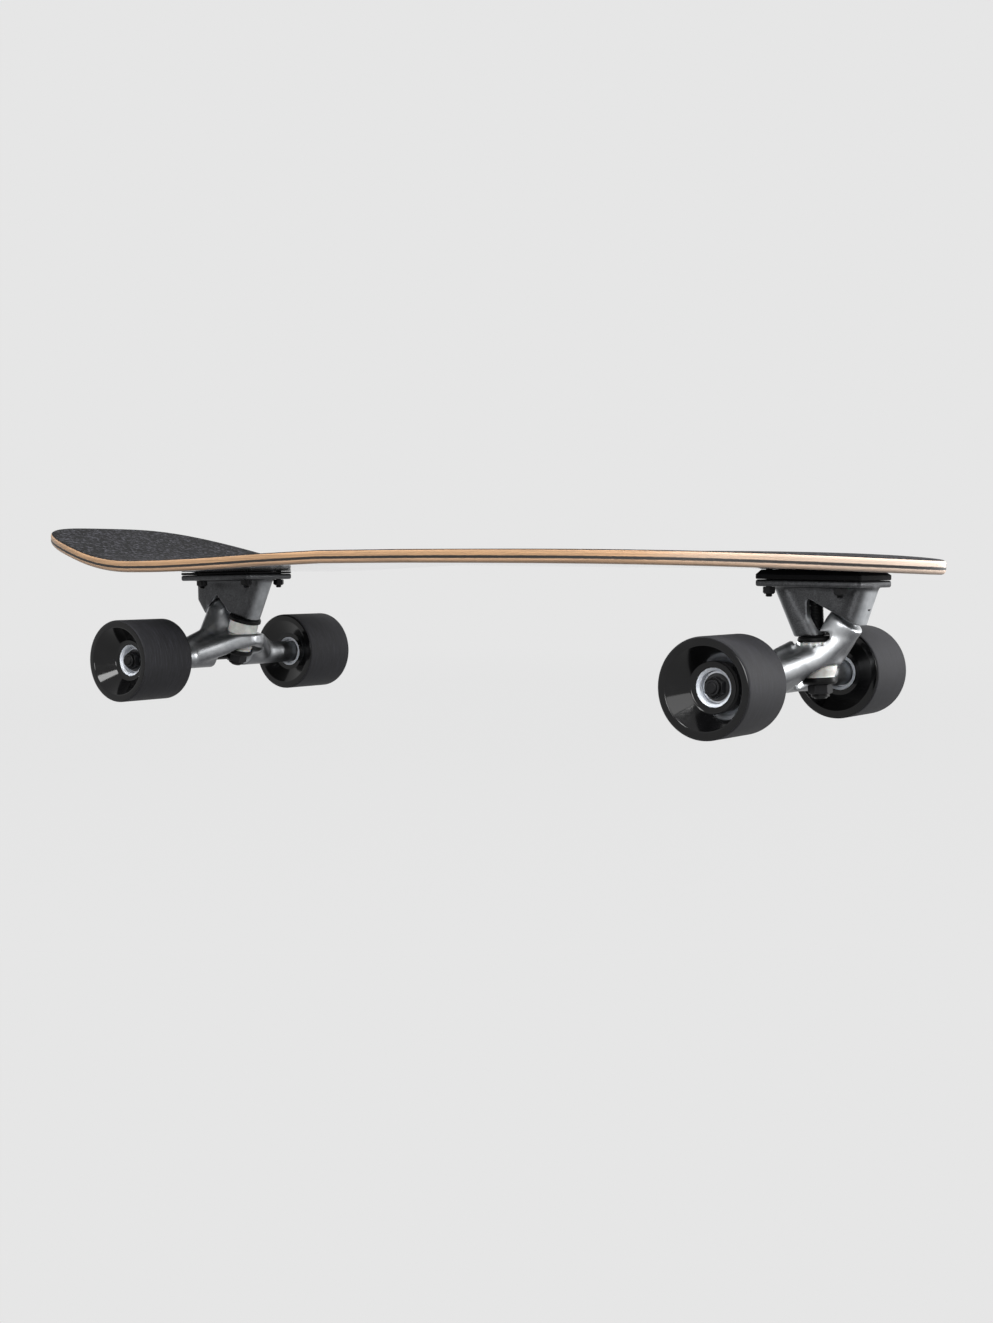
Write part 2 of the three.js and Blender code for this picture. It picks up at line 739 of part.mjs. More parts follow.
function rearHanger() {
  const truck = rearTruck;
  const axle = at(truck.axleOut, 0, -truck.axleDrop);
  const upright = at(0, 0, 1);
  const { from: ringMiddle } = steeringLine(truck);
  const ring = ringMiddle.clone().add(at(0, 0, -ringSink));
  const ringTop = ring.clone().add(at(0, 0, ringHeight * half));
  const ringFoot = ring.clone().add(at(0, 0, -ringHeight * half));
  const bevel = finThickness * half * half;
  const ringPoints = [
    ...circle(ringTop, upright, ringRadius - bevel, roundSides),
    ...circle(ringTop.clone().add(at(0, 0, -bevel)), upright, ringRadius, roundSides),
    ...circle(ringFoot.clone().add(at(0, 0, bevel)), upright, ringRadius, roundSides),
    ...circle(ringFoot, upright, ringRadius - bevel, roundSides),
  ];
  const { neckRadius } = truck;
  const neck = onSteering(truck, neckCentre(truck));
  const neckCircle = circle(neck, steeringLine(truck).rise, neckRadius);
  const shoulder = axle.clone().lerp(neck, half);
  const post = wrapped(
    neckCircle,
    pad(axle, neckRadius * 4, truck.tubeRadius, bevel),
    circle(ringTop.clone().lerp(axle, half).setZ(ringTop.z), upright, neckRadius),
  );
  const sides = [-1, 1].flatMap((side) => {
    const along = (reach) => at(0, side * reach, 0);
    const wing = wrapped(
      ringPoints.filter((point) => point.y * side > -bevel),
      pad(axle.clone().add(along(wingReach)), finThickness, wingRadius, bevel),
    );
    const fin = (centre, reach, radius) => (
      pad(centre.clone().add(along(reach)), finThickness, radius, bevel)
    );
    const low = fin(axle.clone().lerp(neck, half * half), wingReach, finThickness);
    const middle = fin(shoulder, wingReach * half + bevel, finThickness * half);
    const high = fin(neck, neckRadius + bevel, finThickness * half);
    const foot = fin(axle, wingReach + finThickness * 2, wingRadius - bevel);
    const root = fin(axle, 0, finThickness);
    return [wing, wrapped(low, middle, root), wrapped(low, foot), wrapped(middle, high, root)];
  });
  const nose = pivotNose(truck);
  const stack = stackOf(truck);
  const { from, down } = kingpinLine(truck);
  const seat = rod(seatBossRadius, stack.ring, stack.lowerBushing, roundSides, from, down);
  const body = joined([tubeSolid(truck), wrapped(ringPoints), post, ...sides, nose, seat]);
  return cutBy(body, hangerCuts(truck));
}

function frontHanger() {
  const truck = frontTruck;
  const { down } = kingpinLine(truck);
  const { from: ringMiddle, rise } = steeringLine(truck);
  const bevel = strapWidth * half * half;
  const web = truck.ringWeb * half;
  const ringTop = ringMiddle.clone().addScaledVector(down, -web - frontRingTop);
  const ringFoot = ringMiddle.clone().addScaledVector(down, web + frontRingFoot);
  const ringPoints = [
    ...circle(ringTop, down, frontRingRadius - bevel, roundSides),
    ...circle(ringTop.clone().addScaledVector(down, bevel), down, frontRingRadius, roundSides),
    ...circle(ringFoot, down, frontRingFootRadius, roundSides),
  ];
  const neck = circle(onSteering(truck, neckCentre(truck)), rise, truck.neckRadius);
  const sides = [-1, 1].flatMap((side) => {
    const place = (name) => {
      const [out, drop, across, radius] = frontPads[name];
      return pad(at(out, side * across, -drop), strapWidth, radius, bevel);
    };
    return [
      wrapped(place('start'), place('hip'), place('wing')),
      wrapped(place('hip'), place('elbow')),
      wrapped(place('elbow'), place('knee')),
      wrapped(place('knee'), neck),
      wrapped(place('browSide'), place('browEnd'), place('root')),
      wrapped(place('browSide'), place('brow'), place('root')),
    ];
  });
  const browPads = [-1, 1].map((side) => {
    const [out, drop, across, radius] = frontPads.brow;
    return pad(at(out, side * across, -drop), strapWidth, radius, bevel);
  });
  const [rootOut, rootDrop, , rootRadius] = frontPads.root;
  const core = pad(at(rootOut, 0, -rootDrop), strapWidth, rootRadius, bevel);
  const front = wrapped(circle(ringTop, down, frontRingRadius - bevel), ...browPads, core);
  const nose = pivotNose(truck);
  return cutBy(joined([tubeSolid(truck), wrapped(ringPoints), front, ...sides, nose]), hangerCuts(truck));
}

// Wheels stand on the +Y side of the axle here, and their bearings' middle is zero.
const bearingRadius = bearingDiameter * half;
const bearingMiddle = hangerWidth * half + seatGap + bearingWidth + bearingSpacing * half;

function wheelSolid(out) {
  const outerFace = wheelOffset + wheelWidth * half;
  const innerFace = wheelOffset - wheelWidth * half;
  const lip = wheelRadius - wheelLipWidth;
  const hub = hubDiameter * half;
  const rim = coreRimDiameter * half;
  const seat = bearingRadius + pressGap;
  const spacing = bearingSpacing * half;
  const hubFace = outerFace - hubRecess;
  const hubBack = innerFace + hubBackRecess;
  const outerRim = hubFace - coreRimDepth;
  const shoulder = spacing - pressGap;
  const profile = [
    [seat - coreShoulder, -shoulder], [seat, -shoulder], [seat, hubBack], [hub, hubBack], [lip, innerFace],
    [wheelRadius - wheelLipChamfer, innerFace], [wheelRadius, innerFace + wheelLipChamfer],
    [wheelRadius, outerFace - wheelLipChamfer], [wheelRadius - wheelLipChamfer, outerFace], [lip, outerFace],
    [hub, hubFace], [rim, hubFace], [seat, outerRim], [seat, shoulder], [seat - coreShoulder, shoulder],
    [seat - coreShoulder, -shoulder],
  ].map(([radius, along]) => [flatsAt(radius, wheelSides), along]);
  return turned(profile, wheelSides, at(0, out * bearingMiddle, 0), at(0, out, 0));
}

// A bearing's shield lies below its races on the face that shows.
function bearingSolid(out, faceWay) {
  const bore = flatsAt(axleRadius + runningGap, bearingSides);
  const shieldIn = bore + bearingRaceWall;
  const shieldOut = bearingRadius - bearingRaceWall;
  const hidden = bearingSpacing * half;
  const face = hidden + bearingWidth;
  const shield = face - bearingShieldDepth;
  return turned([
    [bore, hidden], [bearingRadius, hidden], [bearingRadius, face], [shieldOut, face], [shieldOut, shield],
    [shieldIn, shield], [shieldIn, face], [bore, face], [bore, hidden],
  ], bearingSides, at(0, out * bearingMiddle, 0), at(0, out * faceWay, 0));
}

const axleNutStart = hangerWidth * half + seatGap * 2 + bearingWidth * 2 + bearingSpacing;
const axleReach = axleNutStart + axleNutHeight + axleStub;

function axleSolid() {
  return rod(axleRadius, -axleReach, axleReach, bearingSides, at(0, 0, 0), at(0, 1, 0));
}

function axleNut(out) {
  const bore = flatsAt(axleRadius + threadGap, castSides);
  return hexNut(axleNutAcross, bore, axleNutStart, axleNutStart + axleNutHeight, at(0, 0, 0), at(0, out, 0));
}

// Assembly
const board = new THREE.Group();

function mesh(name, solid, finish) {
  const [color, roughness, metalness] = finishes[finish];
  const material = new THREE.MeshStandardMaterial({ color, roughness, metalness });
  const piece = new THREE.Mesh(geometryOf(solid), material);
  piece.name = name;
  return piece;
}

const blackTop = gripThickness + upperPliesThickness;
const lowerTop = blackTop + blackPlyThickness;
for (const [name, top, bottom, finish] of [
  ['grip_tape', 0, gripThickness, 'grip'],
  ['deck_upper_plies', gripThickness, blackTop, 'maple'],
  ['deck_black_ply', blackTop, lowerTop, 'blackPly'],
  ['deck_lower_plies', lowerTop, deckThickness, 'maple'],
]) {
  board.add(mesh(name, cutBy(deckSheet(top, bottom), deckHoles), finish));
}

const sidesOfBoard = [['left', 1], ['right', -1]];

for (const truck of [frontTruck, rearTruck]) {
  const { name } = truck;
  const fixed = new THREE.Group();
  fixed.position.copy(truckPlace(truck));
  fixed.rotation.set(0, truck.droop * toRadians, truck.facing * toRadians, 'ZYX');
  board.add(fixed);

  const stack = stackOf(truck);
  fixed.add(mesh(`${name}_riser_pad`, riserPad(truck), 'rubber'));
  fixed.add(mesh(`${name}_baseplate`, baseplate(truck), 'casting'));
  fixed.add(mesh(`${name}_pivot_cup`, pivotCup(truck), 'rubber'));
  fixed.add(mesh(`${name}_kingpin`, kingpin(truck), 'steelBlack'));
  fixed.add(mesh(`${name}_kingpin_nut`, kingpinNut(truck), 'steelBlack'));
  const upperStart = stack.upperWasher - seatGap * half;
  const lowerStart = stack.lowerWasher + seatGap * half + washerSheet;
  const upperCup = cupWasher(truck, upperStart, upperWasherDiameter, upperWasherLip, 1);
  const lowerCup = cupWasher(truck, lowerStart, lowerWasherDiameter, lowerWasherLip, -1);
  fixed.add(mesh(`${name}_upper_washer`, upperCup, 'steelBlack'));
  fixed.add(mesh(`${name}_lower_washer`, lowerCup, 'steelBlack'));
  const wide = bushingDiameter * half;
  const tip = bushingTipDiameter * half;
  const tipLength = lowerWasherLip + seatGap * 2;
  const upper = bushing(truck, stack.upperBushing, stack.ring - seatGap, wide, tipLength);
  const lower = bushing(truck, stack.lowerBushing + seatGap * 2, stack.lowerWasher, tip, tipLength);
  fixed.add(mesh(`${name}_upper_bushing`, upper, 'bushing'));
  fixed.add(mesh(`${name}_lower_bushing`, lower, 'bushing'));
  fixed.add(mesh(`${name}_hanger`, truck === frontTruck ? frontHanger() : rearHanger(), 'casting'));
  boltPlaces.forEach((place, i) => {
    fixed.add(mesh(`${name}_mount_bolt_${i + 1}`, boltSolid(truck, place, 0), 'steelBlack'));
    const bore = flatsAt(boltDiameter * half + threadGap, castSides);
    const nut = hexNut(boltNutAcross, bore, -boltNutHeight, -seatGap, at(...place, 0), at(0, 0, 1));
    fixed.add(mesh(`${name}_mount_nut_${i + 1}`, nut, 'steelBlack'));
  });

  const running = new THREE.Group();
  running.position.copy(axlePlace(truck));
  board.add(running);
  running.add(mesh(`${name}_axle`, axleSolid(), 'steel'));
  for (const [side, out] of sidesOfBoard) {
    running.add(mesh(`${name}_${side}_wheel`, wheelSolid(out), 'urethane'));
    running.add(mesh(`${name}_${side}_outer_bearing`, bearingSolid(out, 1), 'steel'));
    running.add(mesh(`${name}_${side}_inner_bearing`, bearingSolid(out, -1), 'steel'));
    running.add(mesh(`${name}_${side}_axle_nut`, axleNut(out), 'steelBlack'));
  }
}

export default board;
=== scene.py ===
"""Surf skateboard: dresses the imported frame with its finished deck, trucks, wheels and hardware.

Lengths in the piece tables are millimetres in the board's own frame: +X to the nose, +Z up, wheels on Z = 0.
"""

import math

import bmesh
import bpy
import numpy as np
from bpy.props import BoolProperty, FloatProperty, FloatVectorProperty, PointerProperty
from mathutils import Matrix, Vector


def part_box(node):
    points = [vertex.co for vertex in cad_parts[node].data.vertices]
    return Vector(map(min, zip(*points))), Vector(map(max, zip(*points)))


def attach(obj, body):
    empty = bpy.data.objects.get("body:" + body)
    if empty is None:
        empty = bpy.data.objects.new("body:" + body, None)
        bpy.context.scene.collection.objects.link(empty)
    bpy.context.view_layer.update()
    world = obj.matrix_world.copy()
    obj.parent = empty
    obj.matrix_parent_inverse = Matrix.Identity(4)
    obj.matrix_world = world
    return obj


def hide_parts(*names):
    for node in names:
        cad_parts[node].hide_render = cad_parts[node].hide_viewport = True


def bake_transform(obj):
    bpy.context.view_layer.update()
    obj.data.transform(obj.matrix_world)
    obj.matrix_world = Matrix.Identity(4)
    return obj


bl_info = {
    "name": "Surf skateboard",
    "version": (1, 0, 0),
    "blender": (4, 5, 0),
    "location": "View3D > Sidebar > Skateboard",
    "description": "Builds the deck, trucks, wheels and hardware of a surf skateboard around its frame",
    "category": "Object",
}

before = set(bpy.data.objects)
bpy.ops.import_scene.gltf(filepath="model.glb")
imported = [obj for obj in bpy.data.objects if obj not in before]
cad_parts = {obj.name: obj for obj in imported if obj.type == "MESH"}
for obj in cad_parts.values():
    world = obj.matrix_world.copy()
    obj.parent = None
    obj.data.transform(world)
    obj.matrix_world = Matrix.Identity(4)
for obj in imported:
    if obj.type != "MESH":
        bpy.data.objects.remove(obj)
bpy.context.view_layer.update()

MM = 0.001
TRUCK_NAMES = ("front", "rear")
SIDES = (("left", 1), ("right", -1))

# The deck, in millimetres: its outline is two halves of a rounded rectangle that meet at the widest point.
DECK_REACH = 414.5
DECK_WIDTH = 246.0
WIDEST_AFT = 40.0
OUTLINE_FULLNESS = 4.6
NOSE_SHARPNESS = 1.3
TAIL_SHARPNESS = 3.6
TAIL_SINK = 8.1
NOSE_DROP = 8.7
NOSE_DROP_POWER = 3.5
KICK_START = 253.0
KICK_BLEND = 70.0
KICK_ANGLE = 13.7
CONCAVE_DEPTH = 3.4
CONCAVE_FADE = 0.45
SPINE_REACH = 300.0
# Depth of each layer below the deck's top
LAYERS = {
    "grip_tape": (0.0, 0.7),
    "deck_upper_plies": (0.7, 5.1),
    "deck_black_ply": (5.1, 6.5),
    "deck_lower_plies": (6.5, 10.1),
}
DECK_THICKNESS = 10.1
VENEER = 1.47

# Running gear, in millimetres; a nut's own size is its width across flats
WHEEL_RADIUS = 34.5
WHEELBASE = 556.6
AXLE_MID = 22.5
AXLE_RADIUS = 4.0
HANGER_REACH = 86.0
SEAT_GAP = 0.3
BEARING_WIDTH = 7.0
BEARING_SPACING = 10.0
BEARING_RADIUS = 11.0
BEARING_MIDDLE = HANGER_REACH + SEAT_GAP + BEARING_WIDTH + BEARING_SPACING / 2
AXLE_NUT_START = HANGER_REACH + 2 * SEAT_GAP + 2 * BEARING_WIDTH + BEARING_SPACING
AXLE_NUT = 13.0
AXLE_NUT_HEIGHT = 7.4
AXLE_STUB = 1.3

# Each truck in its own frame: X outward to the board's end, Z up, zero on the plate's underside midway
# between its bolts. Lengths in millimetres, angles in degrees.
TRUCKS = {
    "front": {
        "facing": 0, "droop": 0.65, "axle": (-19.0, -65.8), "plate": 80.0, "riser": 3.8, "riser_inset": 3.5,
        "kingpin": -0.9, "lean": 4.0, "seat": 34.7, "upper": 10.0, "lower": 12.1, "web": 8.5,
        "pivot": (26.8, -19.3), "mouth": 39.55, "housing_top": 32.8, "housing_foot": 17.2, "seat_reach": 6.0,
        "throat_reach": -5.0, "throat_rise": 1.0, "hood": 36.65, "hood_slope": 25.6, "apex_reach": 19.4,
        "boss_width": 24.0, "boss_corner": 9.0, "boss_wall": 0.0, "neck": 13.0, "neck_shoulder": 4.6,
        "collar": 7.4, "collar_drop": 3.6, "seat_room": 15.0, "upper_room": 18.8, "lower_room": 17.4,
    },
    "rear": {
        "facing": 180, "droop": 1.35, "axle": (19.4, -67.0), "plate": 84.5, "riser": 2.1, "riser_inset": 11.0,
        "kingpin": -15.6, "lean": 17.5, "seat": 34.05, "upper": 13.95, "lower": 11.65, "web": 5.4,
        "pivot": (33.6, -18.0), "mouth": 41.5, "housing_top": 22.2, "housing_foot": 14.2, "seat_reach": 14.6,
        "throat_reach": 14.6, "throat_rise": 0.0, "hood": 41.5, "hood_slope": 47.5, "apex_reach": 0.0,
        "boss_width": 19.6, "boss_corner": 6.5, "boss_wall": 17.0, "neck": 7.8, "neck_shoulder": 1.4,
        "collar": 7.2, "collar_drop": 0.7, "seat_room": 13.6, "upper_room": 13.6, "lower_room": 21.5,
    },
}
PLATE_THICKNESS = 4.8
PLATE_WIDTH = 57.0
PLATE_CORNER = 4.0
PLATE_EDGE = 0.9
PLATE_OUTWARD = 4.8
BOLT_ALONG = 53.975
BOLT_ACROSS = 41.3
SPARE_STEP = 9.525
BOLT_RADIUS = 2.4
BOLT_HEAD_RADIUS = 4.6
BOLT_NUT = 8.4
BOLT_NUT_HEIGHT = 5.4
KINGPIN_RADIUS = 4.75
PIN_BORE = KINGPIN_RADIUS + SEAT_GAP
THREAD_PLAY = 0.15
WASHER_SHEET = 1.5
# Radius and lip of each pressed washer
UPPER_CUP = (14.4, 2.6)
LOWER_CUP = (12.3, 3.2)
KINGPIN_ROOM = 10.4
WEB_INSET = 1.1
KINGPIN_NUT = 15.0
KINGPIN_NUT_HEIGHT = 9.4
KINGPIN_HEAD = 14.0
KINGPIN_HEAD_DEPTH = 5.1
CUP_RADIUS = 7.8
CUP_LENGTH = 11.0
CUP_WALL = 2.2
NOSE_TAPER = 1.4
HOUSING_END = 9.2
BOSS_REACH = 12.0
TUBE_RADIUS = 10.2
TUBE_END = 9.8
TUBE_COLLAR = 22.0
RING_BORE = 8.0
STRAP_WIDTH = 9.0
RING_RADIUS = 20.5
RING_HEIGHT = 9.8
RING_SINK = 2.9
SEAT_BOSS = 14.4
WASHER_ROOM = 2.4
FLARE = 5.0
FRONT_RING_TOP = 10.2
BUSHING_RADIUS = 12.7
BUSHING_TIP = 10.5
BUSHING_PLAY = 2.2
FRONT_RING_FOOT = 1.6
FRONT_RING_RADIUS = 19.4
FRONT_RING_FOOT_RADIUS = 15.2
FIN_THICKNESS = 7.0
WING_REACH = 46.0
WING_RADIUS = 8.4
# Strength of the painted highlight on the front and the rear casting; the rear's is weaker as painted shade
PLATE_PAINTED_SHEEN = (1.0, 0.6)
HANGER_PAINTED_SHEEN = (1.0, 0.72)
# A length that passes through any casting
THROUGH = 150.0
# Shares of each smoothing step
SHRINK, SWELL = 0.6, 0.45
# The camera's sensor in millimetres, spanned by the photo's 1323 rows, and its focal length in rows
SENSOR = 36.0
PHOTO_ROWS = 1323
FOCAL_ROWS = 1729.64
# Where the camera stands, in metres, and how it is turned, in degrees
CAMERA_PLACE = (0.8450, -1.1266, 0.1159)
CAMERA_TURN = (90 - 3.22, 0, 35.45)

# Places of the front hanger's pads: out, drop, across, radius
FRONT_PADS = {
    "root": (-19.0, 65.8, 0.0, 7.0), "start": (-19.0, 65.8, 22.0, 11.0), "wing": (-19.0, 65.8, 46.0, 8.4),
    "hip": (4.2, 50.9, 15.5, 8.6), "elbow": (10.0, 46.2, 10.8, 8.4), "knee": (18.6, 36.3, 6.0, 8.0),
    "brow": (-13.0, 42.0, 5.5, 4.6), "brow_side": (-15.0, 46.2, 28.7, 3.6),
    "brow_end": (-18.0, 59.3, 58.0, 4.0),
}


# Colour and property helpers

def srgb(colour):
    """The three sRGB values of a hex colour."""
    return tuple(int(colour[i:i + 2], 16) / 255 for i in (1, 3, 5))


def linear(colour):
    """sRGB hex or three sRGB values to linear RGBA."""
    values = srgb(colour) if isinstance(colour, str) else colour
    return (*((c / 12.92 if c <= 0.04045 else ((c + 0.055) / 1.055) ** 2.4) for c in values), 1.0)


def tint(name, description, colour):
    """A colour property."""
    return FloatVectorProperty(name=name, description=description + ", sRGB", default=srgb(colour),
                               subtype="COLOR_GAMMA", size=3, min=0, max=1)


def length(name, description, default, low=0.0):
    """A length property."""
    return FloatProperty(name=name, description=description, default=default, min=low, unit="LENGTH")


# Properties

class DeckLooks(bpy.types.PropertyGroup):
    """Edges and colours of the deck"""

    top_round: length("Top rounding", "Radius of the rail's upper edge", 0.0026)
    bottom_round: length("Bottom rounding", "Radius of the rail's lower edge", 0.0035)
    grip: tint("Grip", "Grip tape colour", "#19191b")
    honey: tint("Upper maple", "Colour of the upper plies", "#c49b74")
    pale: tint("Lower maple", "Colour of the lower plies", "#dcb491")


class TruckLooks(bpy.types.PropertyGroup):
    """Casting detail and colours of the trucks"""

    hanger_grain: length("Hanger detail", "Size of the smallest form kept in a hanger", 0.0011, 0.0005)
    plate_grain: length("Baseplate detail", "Size of the smallest form kept in a baseplate", 0.0008, 0.0004)
    bushing: tint("Bushings", "Bushing colour", "#fafaf5")


class WheelLooks(bpy.types.PropertyGroup):
    """Rounding and colours of the wheels"""

    lip_round: length("Lip rounding", "Radius of the tread's edge", 0.0022)
    tread: tint("Tread", "Ground tread colour", "#1b1b1e")
    face: tint("Face", "Moulded face colour", "#0a0a0b")


class StageLooks(bpy.types.PropertyGroup):
    """Backdrop and lamps"""

    backdrop: tint("Backdrop", "Floor and backdrop colour", "#e6e6e6")
    keep_shadow: BoolProperty(name="Shadow", description="Whether the floor shows the shadow", default=True)


# Node helpers

def add(tree, kind, inputs=None, **settings):
    """Adds a node with its settings; an input that is a socket is linked, any other is set."""
    node = tree.nodes.new("ShaderNode" + kind)
    for key, value in settings.items():
        setattr(node, key, value)
    for key, value in (inputs or {}).items():
        if isinstance(value, bpy.types.NodeSocket):
            tree.links.new(value, node.inputs[key])
        else:
            node.inputs[key].default_value = value
    return node


def new_material(name):
    """An empty material and its tree."""
    material = bpy.data.materials.new(name)
    material.use_nodes = True
    material.node_tree.nodes.clear()
    return material, material.node_tree


def show(tree, inputs, kind="BsdfPrincipled", output="OutputMaterial"):
    """Adds a tree's last shader and its output."""
    add(tree, output, {"Surface": add(tree, kind, inputs).outputs[0]})


def ramp(tree, factor, *stops):
    """A colour ramp with the given (place, sRGB colour) stops."""
    node = add(tree, "ValToRGB", {"Fac": factor})
    elements = node.color_ramp.elements
    while len(elements) < len(stops):
        elements.new(0.5)
    for element, (place, colour) in zip(elements, stops):
        element.position = place
        element.color = linear(colour)
    return node.outputs["Color"]


def remap(tree, value, low, high, start=0.0, end=1.0):
    """A value's stretch from start to end mapped to the one from low to high."""
    return add(tree, "MapRange", {"Value": value, "From Min": start, "From Max": end, "To Min": low,
                                  "To Max": high}).outputs["Result"]


def mix(tree, share, under, over):
    """Two colours mixed, the second by its share."""
    return add(tree, "Mix", {"Factor": share, "A": under, "B": over}, data_type="RGBA").outputs["Result"]


def maths(tree, operation, a, b, **settings):
    """One step of arithmetic."""
    return add(tree, "Math", {0: a, 1: b}, operation=operation, **settings).outputs[0]


def object_place(tree):
    return add(tree, "TexCoord").outputs["Object"]


def scaled(tree, cell):
    """Object coordinates in cells of a size in millimetres, one size or one for each axis."""
    sizes = cell if isinstance(cell, tuple) else (cell,) * 3
    scale = [1 / (size * MM) for size in sizes]
    return add(tree, "Mapping", {"Vector": object_place(tree), "Scale": scale}).outputs["Vector"]


def noise(tree, cell, detail=3.0, roughness=0.5):
    """Noise in cells of a size in millimetres."""
    return add(tree, "TexNoise", {"Vector": scaled(tree, cell), "Scale": 1.0, "Detail": detail,
                                  "Roughness": roughness}).outputs["Fac"]


def bump(tree, height, depth, strength, below=None):
    """Relief of a depth in millimetres, on top of the relief below."""
    inputs = {"Height": height, "Distance": depth * MM, "Strength": strength}
    if below is not None:
        inputs["Normal"] = below
    return add(tree, "Bump", inputs).outputs["Normal"]


def shifted(colour, by):
    """An sRGB colour made lighter or darker by a share."""
    return [min(max(c * (1 + by), 0), 1) for c in colour]


def seen_rays(tree):
    """1 for rays that come from the camera, from a gloss or through a clear body, else 0."""
    path = add(tree, "LightPath").outputs
    seen = maths(tree, "MAXIMUM", path["Is Camera Ray"], path["Is Glossy Ray"])
    return maths(tree, "MAXIMUM", seen, path["Is Transmission Ray"])


# Mesh helpers, in millimetres

def linked(name, data):
    """An object in the scene."""
    piece = bpy.data.objects.new(name, data)
    bpy.context.scene.collection.objects.link(piece)
    return piece


def object_of(name, work):
    """An object made of a work mesh, which is freed."""
    mesh = bpy.data.meshes.new(name)
    work.to_mesh(mesh)
    work.free()
    return linked(name, mesh)


def read(items, key, width=3, kind=float):
    """A value of each mesh item, as rows."""
    values = np.empty(len(items) * width, kind)
    items.foreach_get(key, values)
    return values.reshape(-1, width)


def rounded(points, radii, steps=4):
    """A polyline with each inner corner turned into an arc."""
    out = [points[0]]
    for i in range(1, len(points) - 1):
        radius = radii[i] if isinstance(radii, list) else radii
        before, here, after = (Vector(point) for point in points[i - 1:i + 2])
        to_before, to_after = before - here, after - here
        angle = to_before.angle(to_after, math.pi)
        room = min(to_before.length, to_after.length) * 0.49
        if radius <= 0 or room < 1e-6 or angle > math.radians(178):
            out.append(tuple(here))
            continue
        reach = min(radius / math.tan(angle / 2), room)
        start = here + to_before.normalized() * reach
        end = here + to_after.normalized() * reach
        for k in range(steps + 1):
            t = k / steps
            out.append(tuple(start.lerp(here, t).lerp(here.lerp(end, t), t)))
    out.append(points[-1])
    return out


def spaced(points, step):
    """A polyline with points added, so that none of its lines is longer than a step."""
    out = [points[0]]
    for a, b in zip(points, points[1:]):
        count = max(math.ceil((Vector(b) - Vector(a)).length / step), 1)
        out += [tuple(Vector(a).lerp(Vector(b), k / count)) for k in range(1, count + 1)]
    return out


def turn_to(origin, direction):
    """The transform that takes the Z axis to a direction from a point."""
    turn = Vector((0, 0, 1)).rotation_difference(Vector(direction))
    return Matrix.Translation(origin) @ turn.to_matrix().to_4x4()


def hoop(place, radius, along=0.0, steps=44):
    """Points round a frame's Z axis; the radius may follow the angle, and the height the radius."""
    points = []
    for k in range(steps):
        angle = 2 * math.pi * k / steps
        reach = radius(angle) if callable(radius) else radius
        rise = along(reach) if callable(along) else along
        points.append(place @ Vector((reach * math.cos(angle), reach * math.sin(angle), rise)))
    return points


def circle(centre, direction, radius):
    """Points of a circle round a line."""
    return hoop(turn_to(centre, direction), radius)


def hexagon(flat):
    """How far a hexagon reaches at each angle."""
    return lambda angle: flat / math.cos((angle + math.pi / 6) % (math.pi / 3) - math.pi / 6)


def loft(name, rings, materials, smooth=40.0, caps=(True, True), closed=False, picks=None):
    """Skins rings of equal counts, smooth shaded up to an angle.

    Caps tells which ends are covered, closed joins the last ring to the first, and picks gives each strip's
    material. Points that fall together are merged.
    """
    count = len(rings[0])
    points = [p for ring in rings for p in ring]
    faces, chosen = [], []
    for i in range(len(rings) - (0 if closed else 1)):
        here, there = i * count, (i + 1) % len(rings) * count
        for k in range(count):
            faces.append((here + k, here + (k + 1) % count, there + (k + 1) % count, there + k))
            chosen.append(picks(i) if picks else 0)
    for start, capped in zip((0, len(points) - count), caps):
        if capped and not closed:
            faces.append(tuple(range(start, start + count)))
            chosen.append(0)
    mesh = bpy.data.meshes.new(name)
    mesh.from_pydata([tuple(c * MM for c in p) for p in points], [], faces)
    for material in materials:
        mesh.materials.append(material)
    mesh.polygons.foreach_set("material_index", chosen)
    work = bmesh.new()
    work.from_mesh(mesh)
    bmesh.ops.remove_doubles(work, verts=work.verts, dist=1e-6)
    bmesh.ops.recalc_face_normals(work, faces=work.faces)
    work.to_mesh(mesh)
    work.free()
    mesh.shade_smooth()
    mesh.set_sharp_from_angle(angle=math.radians(smooth))
    return linked(name, mesh)


def lathe(name, profile, place, materials, segments=64, picks=None):
    """A turned piece: its profile is (radius, along) points, and picks gives each strip's material."""
    caps = [radius > 0 and profile[0] != profile[-1] for radius, _ in (profile[0], profile[-1])]
    rings = [hoop(place, radius, along, segments) for radius, along in profile]
    return loft(name, rings, materials, caps=caps,
                picks=picks and (lambda i: picks(profile[i], profile[i + 1])))


def rod_tool(radius, start, end, place):
    """A round cutter along a line."""
    return lathe("tool", [(0, start), (radius, start), (radius, end), (0, end)], place, [], 56)


def hex_nut(name, place, across, height, bore, material, collar=0.0):
    """A hexagon nut whose corners are chamfered on both faces, with a round locking collar if asked."""
    flat, top = across / 2, height - collar
    face = flat * 0.97
    slope = math.tan(math.radians(30))
    rings = [(bore, 0), (face, 0), (hexagon(flat), lambda reach: (reach - face) * slope),
             (hexagon(flat), lambda reach: top - (reach - face) * slope), (face, top)]
    if collar:
        rings += [(flat * 0.88, top), (flat * 0.88, height - 0.5), (flat * 0.8, height)]
    rings.append((bore, height))
    return loft(name, [hoop(place, *ring, 96) for ring in rings], [material], smooth=28.0, closed=True)


def bake(piece):
    """Applies a piece's modifiers."""
    depsgraph = bpy.context.evaluated_depsgraph_get()
    raw = piece.data
    mesh = bpy.data.meshes.new_from_object(piece.evaluated_get(depsgraph))
    piece.modifiers.clear()
    piece.data = mesh
    bpy.data.meshes.remove(raw)


